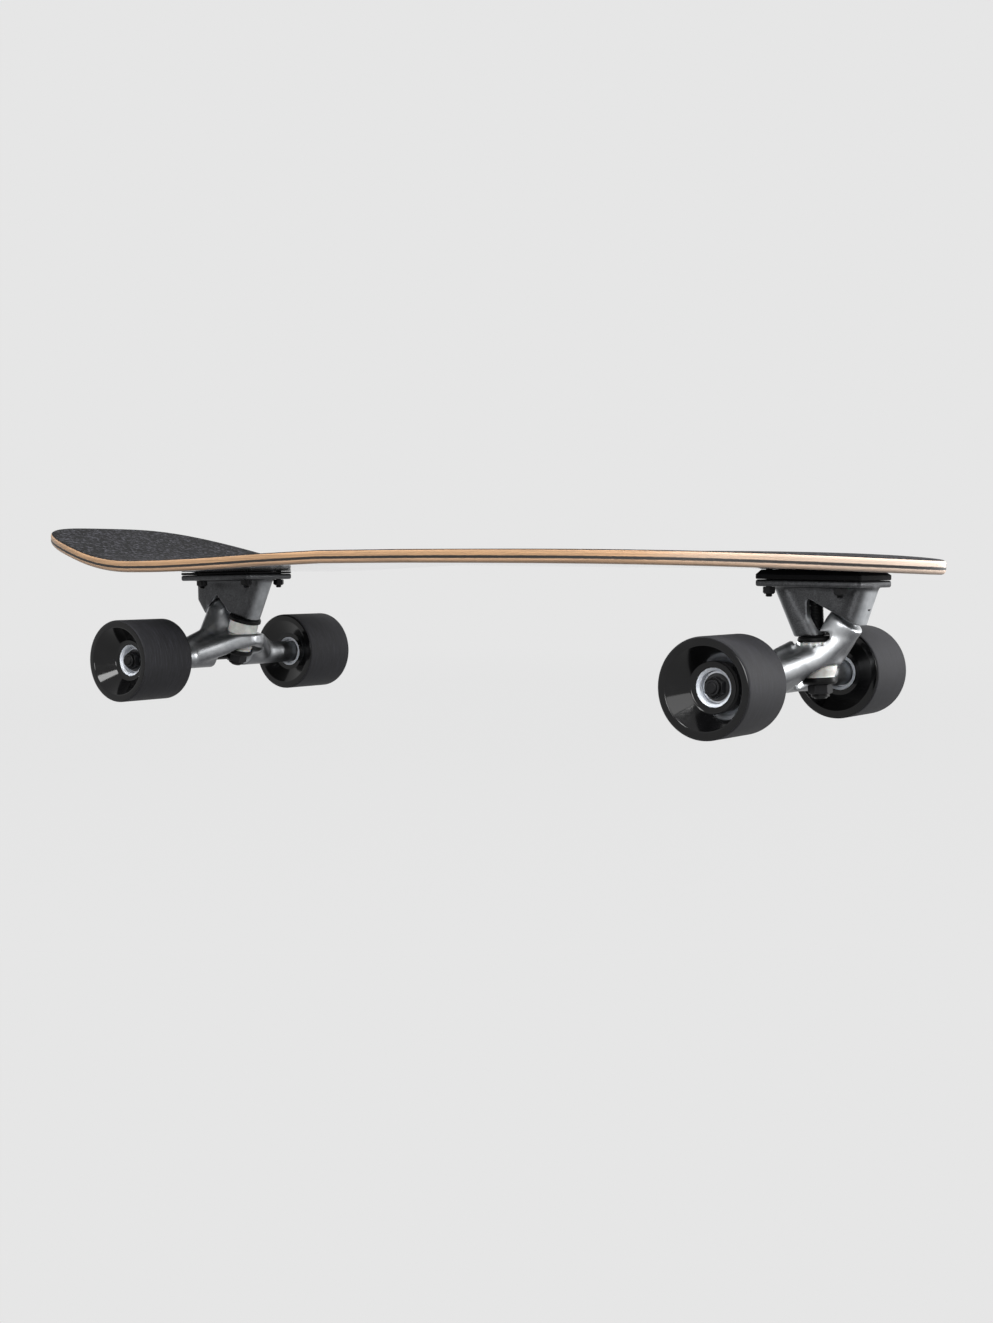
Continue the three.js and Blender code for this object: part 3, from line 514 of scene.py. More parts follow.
def cut(piece, cutters, solver="MANIFOLD"):
    """Takes cutters out of a piece and removes them."""
    for cutter in cutters:
        step = piece.modifiers.new("cut", "BOOLEAN")
        step.object, step.operation, step.solver = cutter, "DIFFERENCE", solver
    bake(piece)
    for cutter in cutters:
        bpy.data.objects.remove(cutter)


def reskin(piece, grain):
    """One closed skin of even faces over whatever overlaps in a piece."""
    step = piece.modifiers.new("skin", "REMESH")
    step.mode, step.voxel_size = "VOXEL", grain
    bake(piece)


def quarter_round(bevel, steps=3):
    """The (inset, drop) steps of a rounded rim, from its face to its side."""
    angles = (math.pi / 2 * k / steps for k in range(steps + 1))
    return [(bevel * (1 - math.sin(a)), bevel * (1 - math.cos(a))) for a in angles]


def pad(centre, width, radius, bevel):
    """A round pad across the board whose rims are rounded."""
    points = []
    for side in (-1, 1):
        for drop, inset in quarter_round(bevel):
            shift = Vector((0, side * (width / 2 - drop), 0))
            points += circle(Vector(centre) + shift, (0, 1, 0), radius - inset)
    return points


def wrapped(*sets):
    """The closed body that wraps several sets of points."""
    body = bmesh.new()
    for point in (p for points in sets for p in points):
        body.verts.new(Vector(point) * MM)
    bmesh.ops.convex_hull(body, input=body.verts)
    bmesh.ops.delete(body, geom=[v for v in body.verts if not v.link_faces], context="VERTS")
    bmesh.ops.recalc_face_normals(body, faces=body.faces)
    return object_of("wrap", body)


def gathered(name, bodies):
    """One object that holds several bodies, which are removed."""
    work = bmesh.new()
    for body in bodies:
        work.from_mesh(body.data)
        bpy.data.objects.remove(body)
    return object_of(name, work)


def soften(mesh, rounds, fillets, hold=None):
    """Evens a skin out with steps that swell as much as they shrink, then fills only its inner corners."""
    points = read(mesh.vertices, "co")
    a, b = read(mesh.edges, "vertices", 2, int).T
    count = len(points)
    near = np.maximum(np.bincount(a, minlength=count) + np.bincount(b, minlength=count), 1)[:, None]
    free = (np.ones(count) if hold is None else hold(points))[:, None]

    def pull():
        total = [np.bincount(a, points[b, k], count) + np.bincount(b, points[a, k], count) for k in range(3)]
        return np.stack(total, 1) / near - points

    def even(times):
        nonlocal points
        for share in (SHRINK, -SWELL) * times:
            points = points + pull() * share * free

    even(rounds)
    for k in range(fillets):
        if k % 5 == 0:
            mesh.vertices.foreach_set("co", points.ravel())
            mesh.update()
            normals = read(mesh.vertex_normals, "vector")
        step = pull()
        points = points + step * SHRINK * (((step * normals).sum(1, keepdims=True) > 0) * free)
    even(2)
    mesh.vertices.foreach_set("co", points.ravel())
    mesh.update()


def eased(values, low, high):
    """0 up to low, 1 from high on, with a soft rise between."""
    share = np.clip((values - low) / (high - low), 0, 1)
    return share * share * (3 - 2 * share)


def finish_casting(piece, name, node, material, painted_sheen):
    """Carries a casting from its truck's frame to the board, inside its solid's box, with a painted highlight
    mask from its face directions.
    """
    mesh = piece.data
    height = read(mesh.vertices, "co")[:, 2] / MM
    seat = truck_place(name)
    seat.translation *= MM
    mesh.transform(seat)
    low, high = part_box(node)
    for vertex in mesh.vertices:
        vertex.co = Vector(min(max(c, a), b) for c, a, b in zip(vertex.co, low, high))
    mesh.materials.clear()
    mesh.materials.append(material)
    # Painted highlight and shade by face direction, stored as an attribute for the material
    painted_sheen_mask = painted_sheen(*read(mesh.vertex_normals, "vector").T, height)
    mesh.attributes.new("painted_sheen", "FLOAT", "POINT").data.foreach_set("value", painted_sheen_mask)
    mesh.shade_smooth()
    mesh.set_sharp_from_angle(angle=math.radians(52))


# The deck's shape

def half_width(x):
    way, sharpness = (-1, TAIL_SHARPNESS) if x < -WIDEST_AFT else (1, NOSE_SHARPNESS)
    share = min(abs(x + WIDEST_AFT) / (DECK_REACH + way * WIDEST_AFT), 1.0)
    return DECK_WIDTH / 2 * (1 - share ** OUTLINE_FULLNESS) ** (1 / sharpness)


def rail_rise(x):
    """The rail's height along the board, which drops to the nose, sinks behind and kicks up to the tail."""
    if x >= 0:
        return -NOSE_DROP * (x / DECK_REACH) ** NOSE_DROP_POWER
    sink = -TAIL_SINK * (1 - math.cos(math.pi * min(-x / KICK_START, 1))) / 2
    run = max(-x - KICK_START, 0)
    slope = math.tan(math.radians(KICK_ANGLE))
    bent = min(run, KICK_BLEND)
    return sink + slope * bent * bent / KICK_BLEND / 2 + slope * (run - bent)


def surface_rise(x, y):
    """The top's height, lower in the middle where the deck is concave."""
    share = min(max((x / DECK_REACH + CONCAVE_FADE) / (2 * CONCAVE_FADE), 0), 1)
    concave = CONCAVE_DEPTH * share * share * (3 - 2 * share)
    reach = DECK_WIDTH / 2
    return rail_rise(x) - concave * ((half_width(x) / reach) ** 2 - (y / reach) ** 2)


def truck_turn(name):
    """Which way the truck faces, and the droop of the deck above it."""
    facing, droop = (math.radians(TRUCKS[name][key]) for key in ("facing", "droop"))
    return Matrix.Rotation(facing, 4, "Z") @ Matrix.Rotation(droop, 4, "Y")


def axle_place(name):
    way = 1 if name == "front" else -1
    return Vector((AXLE_MID + way * WHEELBASE / 2, 0, WHEEL_RADIUS))


def truck_place(name):
    """The truck's own frame in the board's frame."""
    out, rise = TRUCKS[name]["axle"]
    return Matrix.Translation(axle_place(name) - truck_turn(name) @ Vector((out, 0, rise))) @ truck_turn(name)


REAR_SEAT = truck_place("rear").translation
CROWN = (REAR_SEAT.z + PLATE_THICKNESS + TRUCKS["rear"]["riser"] + SEAT_GAP + DECK_THICKNESS
         - surface_rise(REAR_SEAT.x, 0))


def deck_top(x, y):
    return CROWN + surface_rise(x, y)


def kingpin_line(name):
    """Where the kingpin's line meets the plate's underside, and the way down it, in the truck's frame."""
    lean = math.radians(TRUCKS[name]["lean"])
    return Vector((TRUCKS[name]["kingpin"], 0, 0)), Vector((math.sin(lean), 0, -math.cos(lean)))


def kingpin_place(name, distance=0.0):
    """A frame on the kingpin's line with Z running down it, and its origin at a distance from the plate."""
    start, down = kingpin_line(name)
    return truck_place(name) @ turn_to(start + down * distance, down)


def stack_of(name):
    """Places along the kingpin, from the housing's seat down to the end of its nut."""
    truck = TRUCKS[name]
    places, along = {}, truck["seat"] + SEAT_GAP
    for part, height in (
        ("upper_washer", WASHER_SHEET), ("upper_bushing", truck["upper"]), ("ring", truck["web"]),
        ("lower_bushing", truck["lower"]), ("lower_washer", WASHER_SHEET), ("nut", KINGPIN_NUT_HEIGHT),
        ("end", 0),
    ):
        places[part] = along
        along += height
    return places


def steering_line(name):
    """The middle of the hanger's ring, and the way from it to the pivot, in the truck's frame."""
    stack = stack_of(name)
    start, down = kingpin_line(name)
    ring = start + down * (stack["ring"] + stack["lower_bushing"]) / 2
    out, rise = TRUCKS[name]["pivot"]
    return ring, (Vector((out, 0, rise)) - ring).normalized()


def neck_centre(name):
    """Where the neck's widest ring lies along the steering line."""
    truck = TRUCKS[name]
    return truck["mouth"] - SEAT_GAP * 2 - truck["neck_shoulder"] - truck["neck"] / 2


def steering_place(name, distance=0.0):
    """A frame on the steering line, with Z running up it from the ring towards the pivot."""
    ring, rise = steering_line(name)
    return truck_place(name) @ turn_to(ring + rise * distance, rise)


def bolt_places():
    return [(a * BOLT_ALONG, c * BOLT_ACROSS) for a in (-0.5, 0.5) for c in (-0.5, 0.5)]


def bolt_top(name, x, y):
    """Where a bolt's head ends in the truck's frame, under the grip tape."""
    place = truck_place(name) @ Vector((x, y, 0))
    rise = (deck_top(place.x, place.y) - place.z) / math.cos(math.radians(TRUCKS[name]["droop"]))
    return rise - LAYERS["grip_tape"][1]


# Materials: each comment tells what the material's make gives the eye

def grained(name, cell, detail, stops, rough, relief=None, skin=None, **sockets):
    """A material whose colour, roughness and relief follow one noise, or its relief a finer skin's."""
    material, tree = new_material(name)
    grain = noise(tree, cell, *detail)
    inputs = {"Base Color": ramp(tree, grain, *stops), "Roughness": remap(tree, grain, *rough)}
    if relief:
        inputs["Normal"] = bump(tree, noise(tree, skin, 2.0) if skin else grain, *relief)
    show(tree, {**inputs, **{key.replace("_", " "): value for key, value in sockets.items()}})
    return material


def grip_material(colour):
    """Silicon carbide grit on black cloth tape: coarse matt grains of varied tone, the palest ones painted
    glints, no gloss.
    """
    material, tree = new_material("silicon_carbide_grip_tape")
    # The grains are drawn coarser than real ones, which are under half a millimetre, to show from afar
    grit = add(tree, "TexVoronoi", {"Vector": scaled(tree, 2.2), "Scale": 1.0}).outputs
    # Grains darker and paler at random; the palest stop is a painted glint
    grains_and_painted_glints = ramp(tree, grit["Color"], (0.2, shifted(colour, -0.6)), (0.62, colour),
                 (0.96, shifted(colour, 2.4)))
    drift = remap(tree, noise(tree, 60), 0.0, 0.25)
    show(tree, {
        "Base Color": mix(tree, drift, grains_and_painted_glints, linear(shifted(colour, 0.3))), "Specular IOR Level": 0.18,
        "Roughness": remap(tree, grit["Distance"], 0.8, 0.98),
        "Normal": bump(tree, grit["Distance"], 0.35, 0.9)})
    return material


def ply_material(name, colour, pores, coat, dyed):
    """Rotary-cut maple seen on its sanded and sealed edge: long pale fibres, fine glue lines, satin varnish.

    Dyed gives the two depths between which the black ply's dye has bled in, from full to none.
    """
    material, tree = new_material(name)
    depth = add(tree, "Attribute", attribute_name="depth").outputs["Fac"]
    along = add(tree, "SeparateXYZ", {"Vector": object_place(tree)}).outputs["X"]
    # Fibres and pores are drawn coarser than real ones, which would be lost from the photo's place
    fibres, specks = noise(tree, (42, 42, 0.45), 5.0, 0.6), noise(tree, (4.0, 4.0, 0.3), 2.0)
    base = ramp(tree, fibres, (0.3, shifted(colour, -0.32)), (0.5, colour), (0.72, shifted(colour, 0.12)))
    patches = ramp(tree, noise(tree, (130, 130, 1.6), 2.0), (0.35, shifted(colour, -0.3)),
                   (0.58, shifted(colour, 0.06)))
    wood = mix(tree, 0.42, base, patches)
    seam = maths(tree, "PINGPONG", depth, VENEER)
    streaked = maths(tree, "ADD", depth, remap(tree, specks, -0.25, 0.25))
    # Glue lines, pores, a painted pool of light that pales the nose's end, and the dye
    for share, over in ((remap(tree, seam, 0.55, 0.0, 0.0, 0.16), shifted(colour, -0.5)),
                        (remap(tree, specks, 0.0, pores, 0.62, 0.75), shifted(colour, -0.6)),
                        # Paler towards the nose: painted light
                        (remap(tree, along, 0.0, 0.62, 0.24, 0.4), "#f1e2d6"),
                        (remap(tree, streaked, 0.92, 0.0, *dyed), "#15100d")):
        wood = mix(tree, share, wood, linear(over))
    show(tree, {"Base Color": wood, "Roughness": remap(tree, fibres, 0.42, 0.58), "Coat Weight": coat,
                "Coat Roughness": 0.25, "Normal": bump(tree, fibres, 0.05, 0.5)})
    return material


def casting_material(name, low, high, skin, rough, pit_depth, pit_size):
    """Cast and tumbled aluminium whose brightness is painted light: faces a painted highlight mask picks are
    bright metal, the rest a darker grey skin as painted shade.
    """
    material, tree = new_material(name)
    stains, pits, slow = noise(tree, 14, 4.0, 0.6), noise(tree, pit_size, 3.0, 0.65), noise(tree, 5, 2.0)
    # The attribute read here is a painted highlight mask set by each face's direction, given a ragged edge by
    # noise
    painted_sheen = add(tree, "Attribute", attribute_name="painted_sheen").outputs["Fac"]
    ragged_sheen = maths(tree, "ADD", painted_sheen, remap(tree, slow, -0.12, 0.12), use_clamp=True)
    # The darker skin colour is painted shade where the mask is low
    shaded_skin = ramp(tree, pits, (0.3, shifted(skin, -0.25)), (0.7, shifted(skin, 0.2)))
    show(tree, {
        "Base Color": mix(tree, ragged_sheen, shaded_skin, ramp(tree, stains, (0.3, low), (0.7, high))), "Metallic": 1.0,
        "Roughness": remap(tree, pits, rough - 0.08, rough + 0.12),
        "Normal": bump(tree, pits, pit_depth, 0.8, bump(tree, slow, 0.12, 0.5))})
    return material


def black_oxide_material():
    """Black oxide on turned and forged steel: near-black, satin, paler on sharp corners where rubbing shows
    the steel and as a painted highlight.
    """
    material, tree = new_material("black_oxide_steel")
    rubs = noise(tree, 1.6, 4.0, 0.6)
    # Paler on sharp corners: partly rubbed oxide, partly a painted highlight
    corner_wear_and_sheen = remap(tree, add(tree, "NewGeometry").outputs["Pointiness"], 0.0, 0.25, 0.54, 0.64)
    base = ramp(tree, rubs, (0.3, "#060607"), (0.7, "#0e0e0f"))
    show(tree, {"Base Color": mix(tree, corner_wear_and_sheen, base, linear("#6a6a6e")), "Specular IOR Level": 0.14,
                "Roughness": remap(tree, rubs, 0.3, 0.46), "Normal": bump(tree, rubs, 0.03, 0.4)})
    return material


def tread_material(colour):
    """Ground urethane tread: matt dark grey with fine lines round the wheel and a dry bloom."""
    material, tree = new_material("ground_urethane_tread")
    # The grinding lines are drawn coarser than real ones, so that they show from the photo's place
    lines, bloom = noise(tree, (14, 0.8, 14), 4.0, 0.7), noise(tree, (11, 16, 11), 4.0, 0.6)
    base = ramp(tree, lines, (0.32, shifted(colour, -0.5)), (0.5, colour), (0.68, shifted(colour, 0.8)))
    show(tree, {
        "Base Color": mix(tree, remap(tree, bloom, 0.0, 0.4), base, linear(shifted(colour, 0.18))),
        "Roughness": remap(tree, lines, 0.62, 0.85), "Normal": bump(tree, lines, 0.16, 0.8),
        "Specular IOR Level": 0.28})
    return material


MATERIALS = {}


def materials():
    """Makes each material once, from the colours in the panel."""
    if MATERIALS:
        return MATERIALS
    scene = bpy.context.scene
    deck = scene.deck_looks
    bushing, tread, face = (tuple(c) for c in (
        scene.truck_looks.bushing, scene.wheel_looks.tread, scene.wheel_looks.face))
    upper = LAYERS["deck_upper_plies"][1] - LAYERS["deck_upper_plies"][0]
    honey_dye = (upper - 0.15, upper - 0.55)
    MATERIALS.update({
        "grip": grip_material(tuple(deck.grip)),
        "honey": ply_material("sealed_maple_edge_honey", tuple(deck.honey), 0.35, 0.3, honey_dye),
        "pale": ply_material("sealed_maple_edge_pale", tuple(deck.pale), 0.5, 0.2, (0.25, 0.65)),
        # Maple veneer dyed black through: dull brown-black fibres
        "black_ply": grained(
            "black_dyed_maple_ply", (38, 38, 0.4), (4.0, 0.6),
            [(0.3, "#060504"), (0.6, "#120e0b"), (0.8, "#241b15")], (0.45, 0.62), (0.04, 0.4)),
        # The bottom ply stained black under poured gloss lacquer: deep shine with faint long grain
        "underside": grained(
            "black_stained_maple_gloss_lacquered", (85, 2.4, 2.4), (5.0, 0.6),
            [(0.3, "#0b0a0a"), (0.55, "#161312"), (0.8, "#241d19")], (0.16, 0.26), (0.02, 0.3),
            Coat_Weight=1.0, Coat_Roughness=0.06),
        "hanger": casting_material("tumbled_cast_aluminium", "#b4b7ba", "#dcdee0", (0.36, 0.365, 0.375), 0.36,
                                   0.02, 0.7),
        "plate": casting_material("sand_cast_aluminium", "#8d9093", "#b9bbbe", (0.27, 0.272, 0.278), 0.42,
                                  0.08, 0.9),
        "oxide": black_oxide_material(),
        # Bright ground steel: even grey with fine turning marks
        "steel": grained(
            "bright_ground_steel", (3, 0.25, 3), (3.0, 0.6), [(0.3, "#9a9da3"), (0.7, "#c6c9ce")],
            (0.22, 0.36), (0.01, 0.4), Metallic=1.0),
        # Moulded black rubber: matt skin with a slight bloom
        "rubber": grained("moulded_black_rubber", 9, (4.0, 0.6), [(0.3, "#080809"), (0.7, "#111113")],
                          (0.62, 0.82), (0.05, 0.5), 0.6, Specular_IOR_Level=0.12),
        # The bearing's rubber shield: smooth black with a faint ring sheen
        "shield": grained("moulded_bearing_shield", 3, (), [(0.3, "#0d0d0e"), (0.7, "#1c1c1f")], (0.35, 0.5)),
        # Cast white urethane: waxy, slightly clear, gathers grey dust
        "bushing": grained(
            "cast_white_urethane", 6, (4.0, 0.6), [(0.3, shifted(bushing, -0.12)), (0.65, bushing)],
            (0.38, 0.52), (0.05, 0.2), Subsurface_Weight=0.12, Subsurface_Scale=0.003),
        "tread": tread_material(tread),
        # Urethane as it leaves a polished mould: wet black gloss with a faint flow pattern
        "face": grained(
            "mould_gloss_urethane", 9, (), [(0.3, shifted(face, -0.3)), (0.7, shifted(face, 0.2))],
            (0.06, 0.13), (0.03, 0.15), Specular_IOR_Level=0.3),
        # The wheel's moulded white core: clean blue-white plastic
        "core": grained(
            "moulded_white_nylon_core", 3, (), [(0.3, "#e3e9f4"), (0.7, "#f6faff")], (0.25, 0.38)),
    })
    return MATERIALS


def settle(piece, body, slot, *nodes):
    """Puts a piece on its body, in place of its CAD nodes. The slot is not used."""
    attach(piece, body)
    if nodes:
        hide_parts(*nodes)
    return piece


# Operators

class BuildDeck(bpy.types.Operator):
    """Builds the deck's three wood packs and the grip tape"""

    bl_idname = "skateboard.build_deck"
    bl_label = "Deck"

    def outline(self):
        """Points round the deck's plan, denser where it turns, with their inward normals."""
        points = []
        quarter = 84
        for sharpness, way, spans in ((NOSE_SHARPNESS, 1, ((0, 1, 1), (1, 0, -1))),
                                      (TAIL_SHARPNESS, -1, ((0, 1, -1), (1, 0, 1)))):
            for start, end, side in spans:
                for k in range(quarter):
                    angle = math.pi / 2 * (start + (end - start) * k / quarter)
                    along = way * (DECK_REACH + way * WIDEST_AFT) * math.sin(angle) ** (2 / OUTLINE_FULLNESS)
                    across = math.cos(angle) ** (2 / sharpness) if k or start == 0 else 0.0
                    points.append((along - WIDEST_AFT, side * DECK_WIDTH / 2 * across))
        inward = []
        for (x0, y0), (x1, y1) in zip(points[-1:] + points[:-1], points[1:] + points[:1]):
            span = math.hypot(x1 - x0, y1 - y0) or 1
            inward.append(((y1 - y0) / span, (x0 - x1) / span))
        return list(zip(points, inward))

    def inset(self, depth, looks):
        """How far the rounded rail stands in at a depth below the top."""
        for radius, near in ((looks.top_round, depth), (looks.bottom_round, DECK_THICKNESS - depth)):
            radius /= MM
            if near < radius:
                return radius - math.sqrt(max(radius ** 2 - (radius - near) ** 2, 0))
        return 0.0

    def layer(self, name, outline, looks, finish):
        """One sheet, as rings from its top's spine over the rail to its underside's."""
        start, end = LAYERS[name]
        across, rows = 18, 8

        def ring(depth, share):
            made = []
            set_in = self.inset(depth, looks)
            for (x, y), (nx, ny) in outline:
                px, py = x + nx * set_in, y + ny * set_in
                spine = min(max(px, -SPINE_REACH), SPINE_REACH)
                qx, qy = px + (spine - px) * share, py * (1 - share)
                made.append(Vector((qx, qy, deck_top(qx, qy) - depth)))
            return made

        shares = [(k / across) ** 1.3 for k in range(across + 1)]
        rings = [ring(start, s) for s in reversed(shares)]
        rings += [ring(start + (end - start) * k / rows, 0.0) for k in range(1, rows)]
        under = len(rings)
        rings += [ring(end, s) for s in shares]
        picks = (lambda i: int(i >= under)) if len(finish) > 1 else None
        piece = loft(name + "_finished", rings, finish, smooth=50.0, caps=(), picks=picks)
        places = [v.co / MM for v in piece.data.vertices]
        piece.data.attributes.new("depth", "FLOAT", "POINT").data.foreach_set(
            "value", [deck_top(p.x, p.y) - p.z - start for p in places])
        return piece

    def bore(self, piece):
        """Cuts the bolt heads' holes through the grip tape."""
        reach, tools = BOLT_HEAD_RADIUS + SEAT_GAP, []
        for name in TRUCK_NAMES:
            for x, y in bolt_places():
                top = bolt_top(name, x, y)
                place = truck_place(name) @ Matrix.Translation((x, y, 0))
                tools.append(lathe("bore", [(reach, top - 3), (reach, top + 6)], place, [], 24))
        cut(piece, [gathered("bores", tools)], "EXACT")

    def execute(self, context):
        shades = materials()
        outline = self.outline()
        for name, finish, slot in (
            ("grip_tape", ["grip"], "grip"),
            ("deck_upper_plies", ["honey"], "maple"),
            ("deck_black_ply", ["black_ply"], "black_ply"),
            ("deck_lower_plies", ["pale", "underside"], "maple"),
        ):
            piece = self.layer(name, outline, context.scene.deck_looks, [shades[key] for key in finish])
            if name == "grip_tape":
                self.bore(piece)
            settle(piece, "board", slot, name)
        return {"FINISHED"}


def plan_ring(name, inset, rise, corner_steps=8):
    """The mounting plate's rounded outline, drawn in by an inset; rise gives each point's height."""
    length, width = TRUCKS[name]["plate"] / 2 - inset, PLATE_WIDTH / 2 - inset
    corner = max(PLATE_CORNER - inset, 0.6)
    ring = []
    for along, across, start in ((1, -1, -90), (1, 1, 0), (-1, 1, 90), (-1, -1, 180)):
        for k in range(corner_steps + 1):
            angle = math.radians(start + 90 * k / corner_steps)
            x = PLATE_OUTWARD + along * (length - corner) + corner * math.cos(angle)
            y = across * (width - corner) + corner * math.sin(angle)
            ring.append(Vector((x, y, rise(x, y))))
    return ring


class BuildRisers(bpy.types.Operator):
    """Builds the rubber risers between the baseplates and the deck"""

    bl_idname = "skateboard.build_risers"
    bl_label = "Risers"

    def execute(self, context):
        for name in TRUCK_NAMES:
            seat = truck_place(name)
            bottom = PLATE_THICKNESS + SEAT_GAP
            flat = bottom + TRUCKS[name]["riser"]
            inset = TRUCKS[name]["riser_inset"]

            def under_deck(x, y, drop=0.0):
                place = seat @ Vector((x, y, flat))
                floor = deck_top(place.x, place.y) - DECK_THICKNESS - SEAT_GAP
                return (seat.inverted() @ Vector((place.x, place.y, floor))).z - drop

            def shelf(x, y):
                return min(flat, under_deck(x, y))

            levels = [(0.5, lambda x, y: bottom), (0.0, lambda x, y: bottom + 0.5),
                      (0.0, lambda x, y: min(flat - 0.5, under_deck(x, y, 0.3))), (0.5, shelf),
                      (max(inset - 4, 0.6), shelf), (inset, lambda x, y: under_deck(x, y, 0.3)),
                      (inset + 0.4, under_deck), (inset + 8.0, under_deck), (24.0, under_deck)]
            rings = [[seat @ p for p in plan_ring(name, *level)] for level in levels]
            piece = loft(f"{name}_riser_pad_finished", rings, [materials()["rubber"]], smooth=35.0)
            settle(piece, "board", "rubber", f"{name}_riser_pad")
        return {"FINISHED"}


class BuildBaseplates(bpy.types.Operator):
    """Builds the cast baseplates"""

    bl_idname = "skateboard.build_baseplates"
    bl_label = "Baseplates"

    def plate(self, name):
        """The plate with rounded edges."""
        rims = quarter_round(PLATE_EDGE, 4)
        rims += [(inset, PLATE_THICKNESS - rise) for inset, rise in reversed(rims)]
        return loft("plate", [plan_ring(name, inset, lambda x, y: rise) for inset, rise in rims], [])

    def housing(self, name):
        """The body that wraps the kingpin's end and the pivot's boss, less the throat between them."""
        truck = TRUCKS[name]
        start, down = kingpin_line(name)
        middle, rise = steering_line(name)
        upright, mid_plate = Vector((0, 0, 1)), Vector((0, 0, PLATE_THICKNESS / 2))
        inward = Vector((down.z, 0, -down.x))
        seat = start + down * truck["seat"]
        slope = math.radians(truck["hood_slope"])
        lip = Vector((math.cos(slope), 0, -math.sin(slope)))
        hood = middle + rise * truck["hood"]
        corner = truck["boss_corner"]
        outer_end = Vector((PLATE_OUTWARD + truck["plate"] / 2 - corner, 0, 0))
        foot = seat + inward * (truck["housing_foot"] - HOUSING_END)
        top = start + mid_plate + Vector((HOUSING_END - truck["housing_top"], 0, 0))

        def boss(centre, direction, inset):
            reach = Vector((0, truck["boss_width"] / 2 - corner, 0))
            return circle(centre - reach, direction, corner - inset) + circle(
                centre + reach, direction, corner - inset)

        def column(inset):
            thick = HOUSING_END - inset
            return [circle(top, upright, thick), circle(foot, down, thick),
                    circle(seat + inward * (HOUSING_END - truck["seat_reach"]), down, thick)]

        def boss_ends(inset):
            return [boss(outer_end + mid_plate, upright, inset),
                    boss(outer_end - upright * truck["boss_wall"], upright, inset),
                    boss(hood + lip * (BOSS_REACH - corner), Vector((-lip.z, 0, lip.x)), inset)]

        wall = seat - inward * truck["throat_reach"]
        back = seat + inward * truck["plate"]
        apex = hood - lip * (BOSS_REACH + truck["apex_reach"])
        end = hood + lip * truck["plate"]
        shoulder = wall.z + (apex.z - wall.z) * truck["throat_rise"]
        floor = truck["axle"][1] * 2
        outline = [(back.x, back.z), (back.x, floor), (end.x, floor), (end.x, end.z), (apex.x, apex.z),
                   (wall.x, shoulder), (wall.x, wall.z)]
        rings = [[Vector((x, side * PLATE_WIDTH / 2, z)) for x, z in outline] for side in (-1, 1)]
        bodies = [wrapped(*column(WEB_INSET), *boss_ends(WEB_INSET)), wrapped(*boss_ends(0))]
        for body in bodies:
            cut(body, [loft("throat", rings, [])], "EXACT")
        return [*bodies, wrapped(*column(0))]

    def execute(self, context):
        grain = context.scene.truck_looks.plate_grain
        spares = [(BOLT_ALONG / 2 + SPARE_STEP, s * BOLT_ACROSS) for s in (-0.5, 0.5)]
        for name, reach in zip(TRUCK_NAMES, PLATE_PAINTED_SHEEN):
            piece = gathered(f"{name}_baseplate_cast", [self.plate(name), *self.housing(name)])
            reskin(piece, grain)
            soften(piece.data, 5, 14)
            middle, rise = steering_line(name)
            kingpin = turn_to(*kingpin_line(name))
            mouth = turn_to(middle + rise * TRUCKS[name]["mouth"], rise)
            bores = [(KINGPIN_RADIUS, THROUGH, kingpin), (CUP_RADIUS, CUP_LENGTH, mouth),
                     (KINGPIN_HEAD / math.sqrt(3), KINGPIN_HEAD_DEPTH, kingpin)]
            tools = [rod_tool(radius + SEAT_GAP, -30, end + SEAT_GAP, place) for radius, end, place in bores]
            tools += [rod_tool(BOLT_RADIUS + SEAT_GAP, -9, 12, Matrix.Translation((x, y, 0)))
                      for x, y in bolt_places() + spares]
            cut(piece, tools)

            def painted_sheen_mask(x, y, z, height):
                """Painted highlight on the slanted sides, painted shade on the flat ones and near the plate.
                """
                side = eased(1 - np.abs(y), 0.06, 0.5) * (1 - eased(np.abs(z), 0.6, 0.9))
                return reach * side * eased(-height, 1.0, 4.0)

            finish_casting(piece, name, f"{name}_baseplate", materials()["plate"], painted_sheen_mask)
            settle(piece, "board", "casting", f"{name}_baseplate")
        return {"FINISHED"}


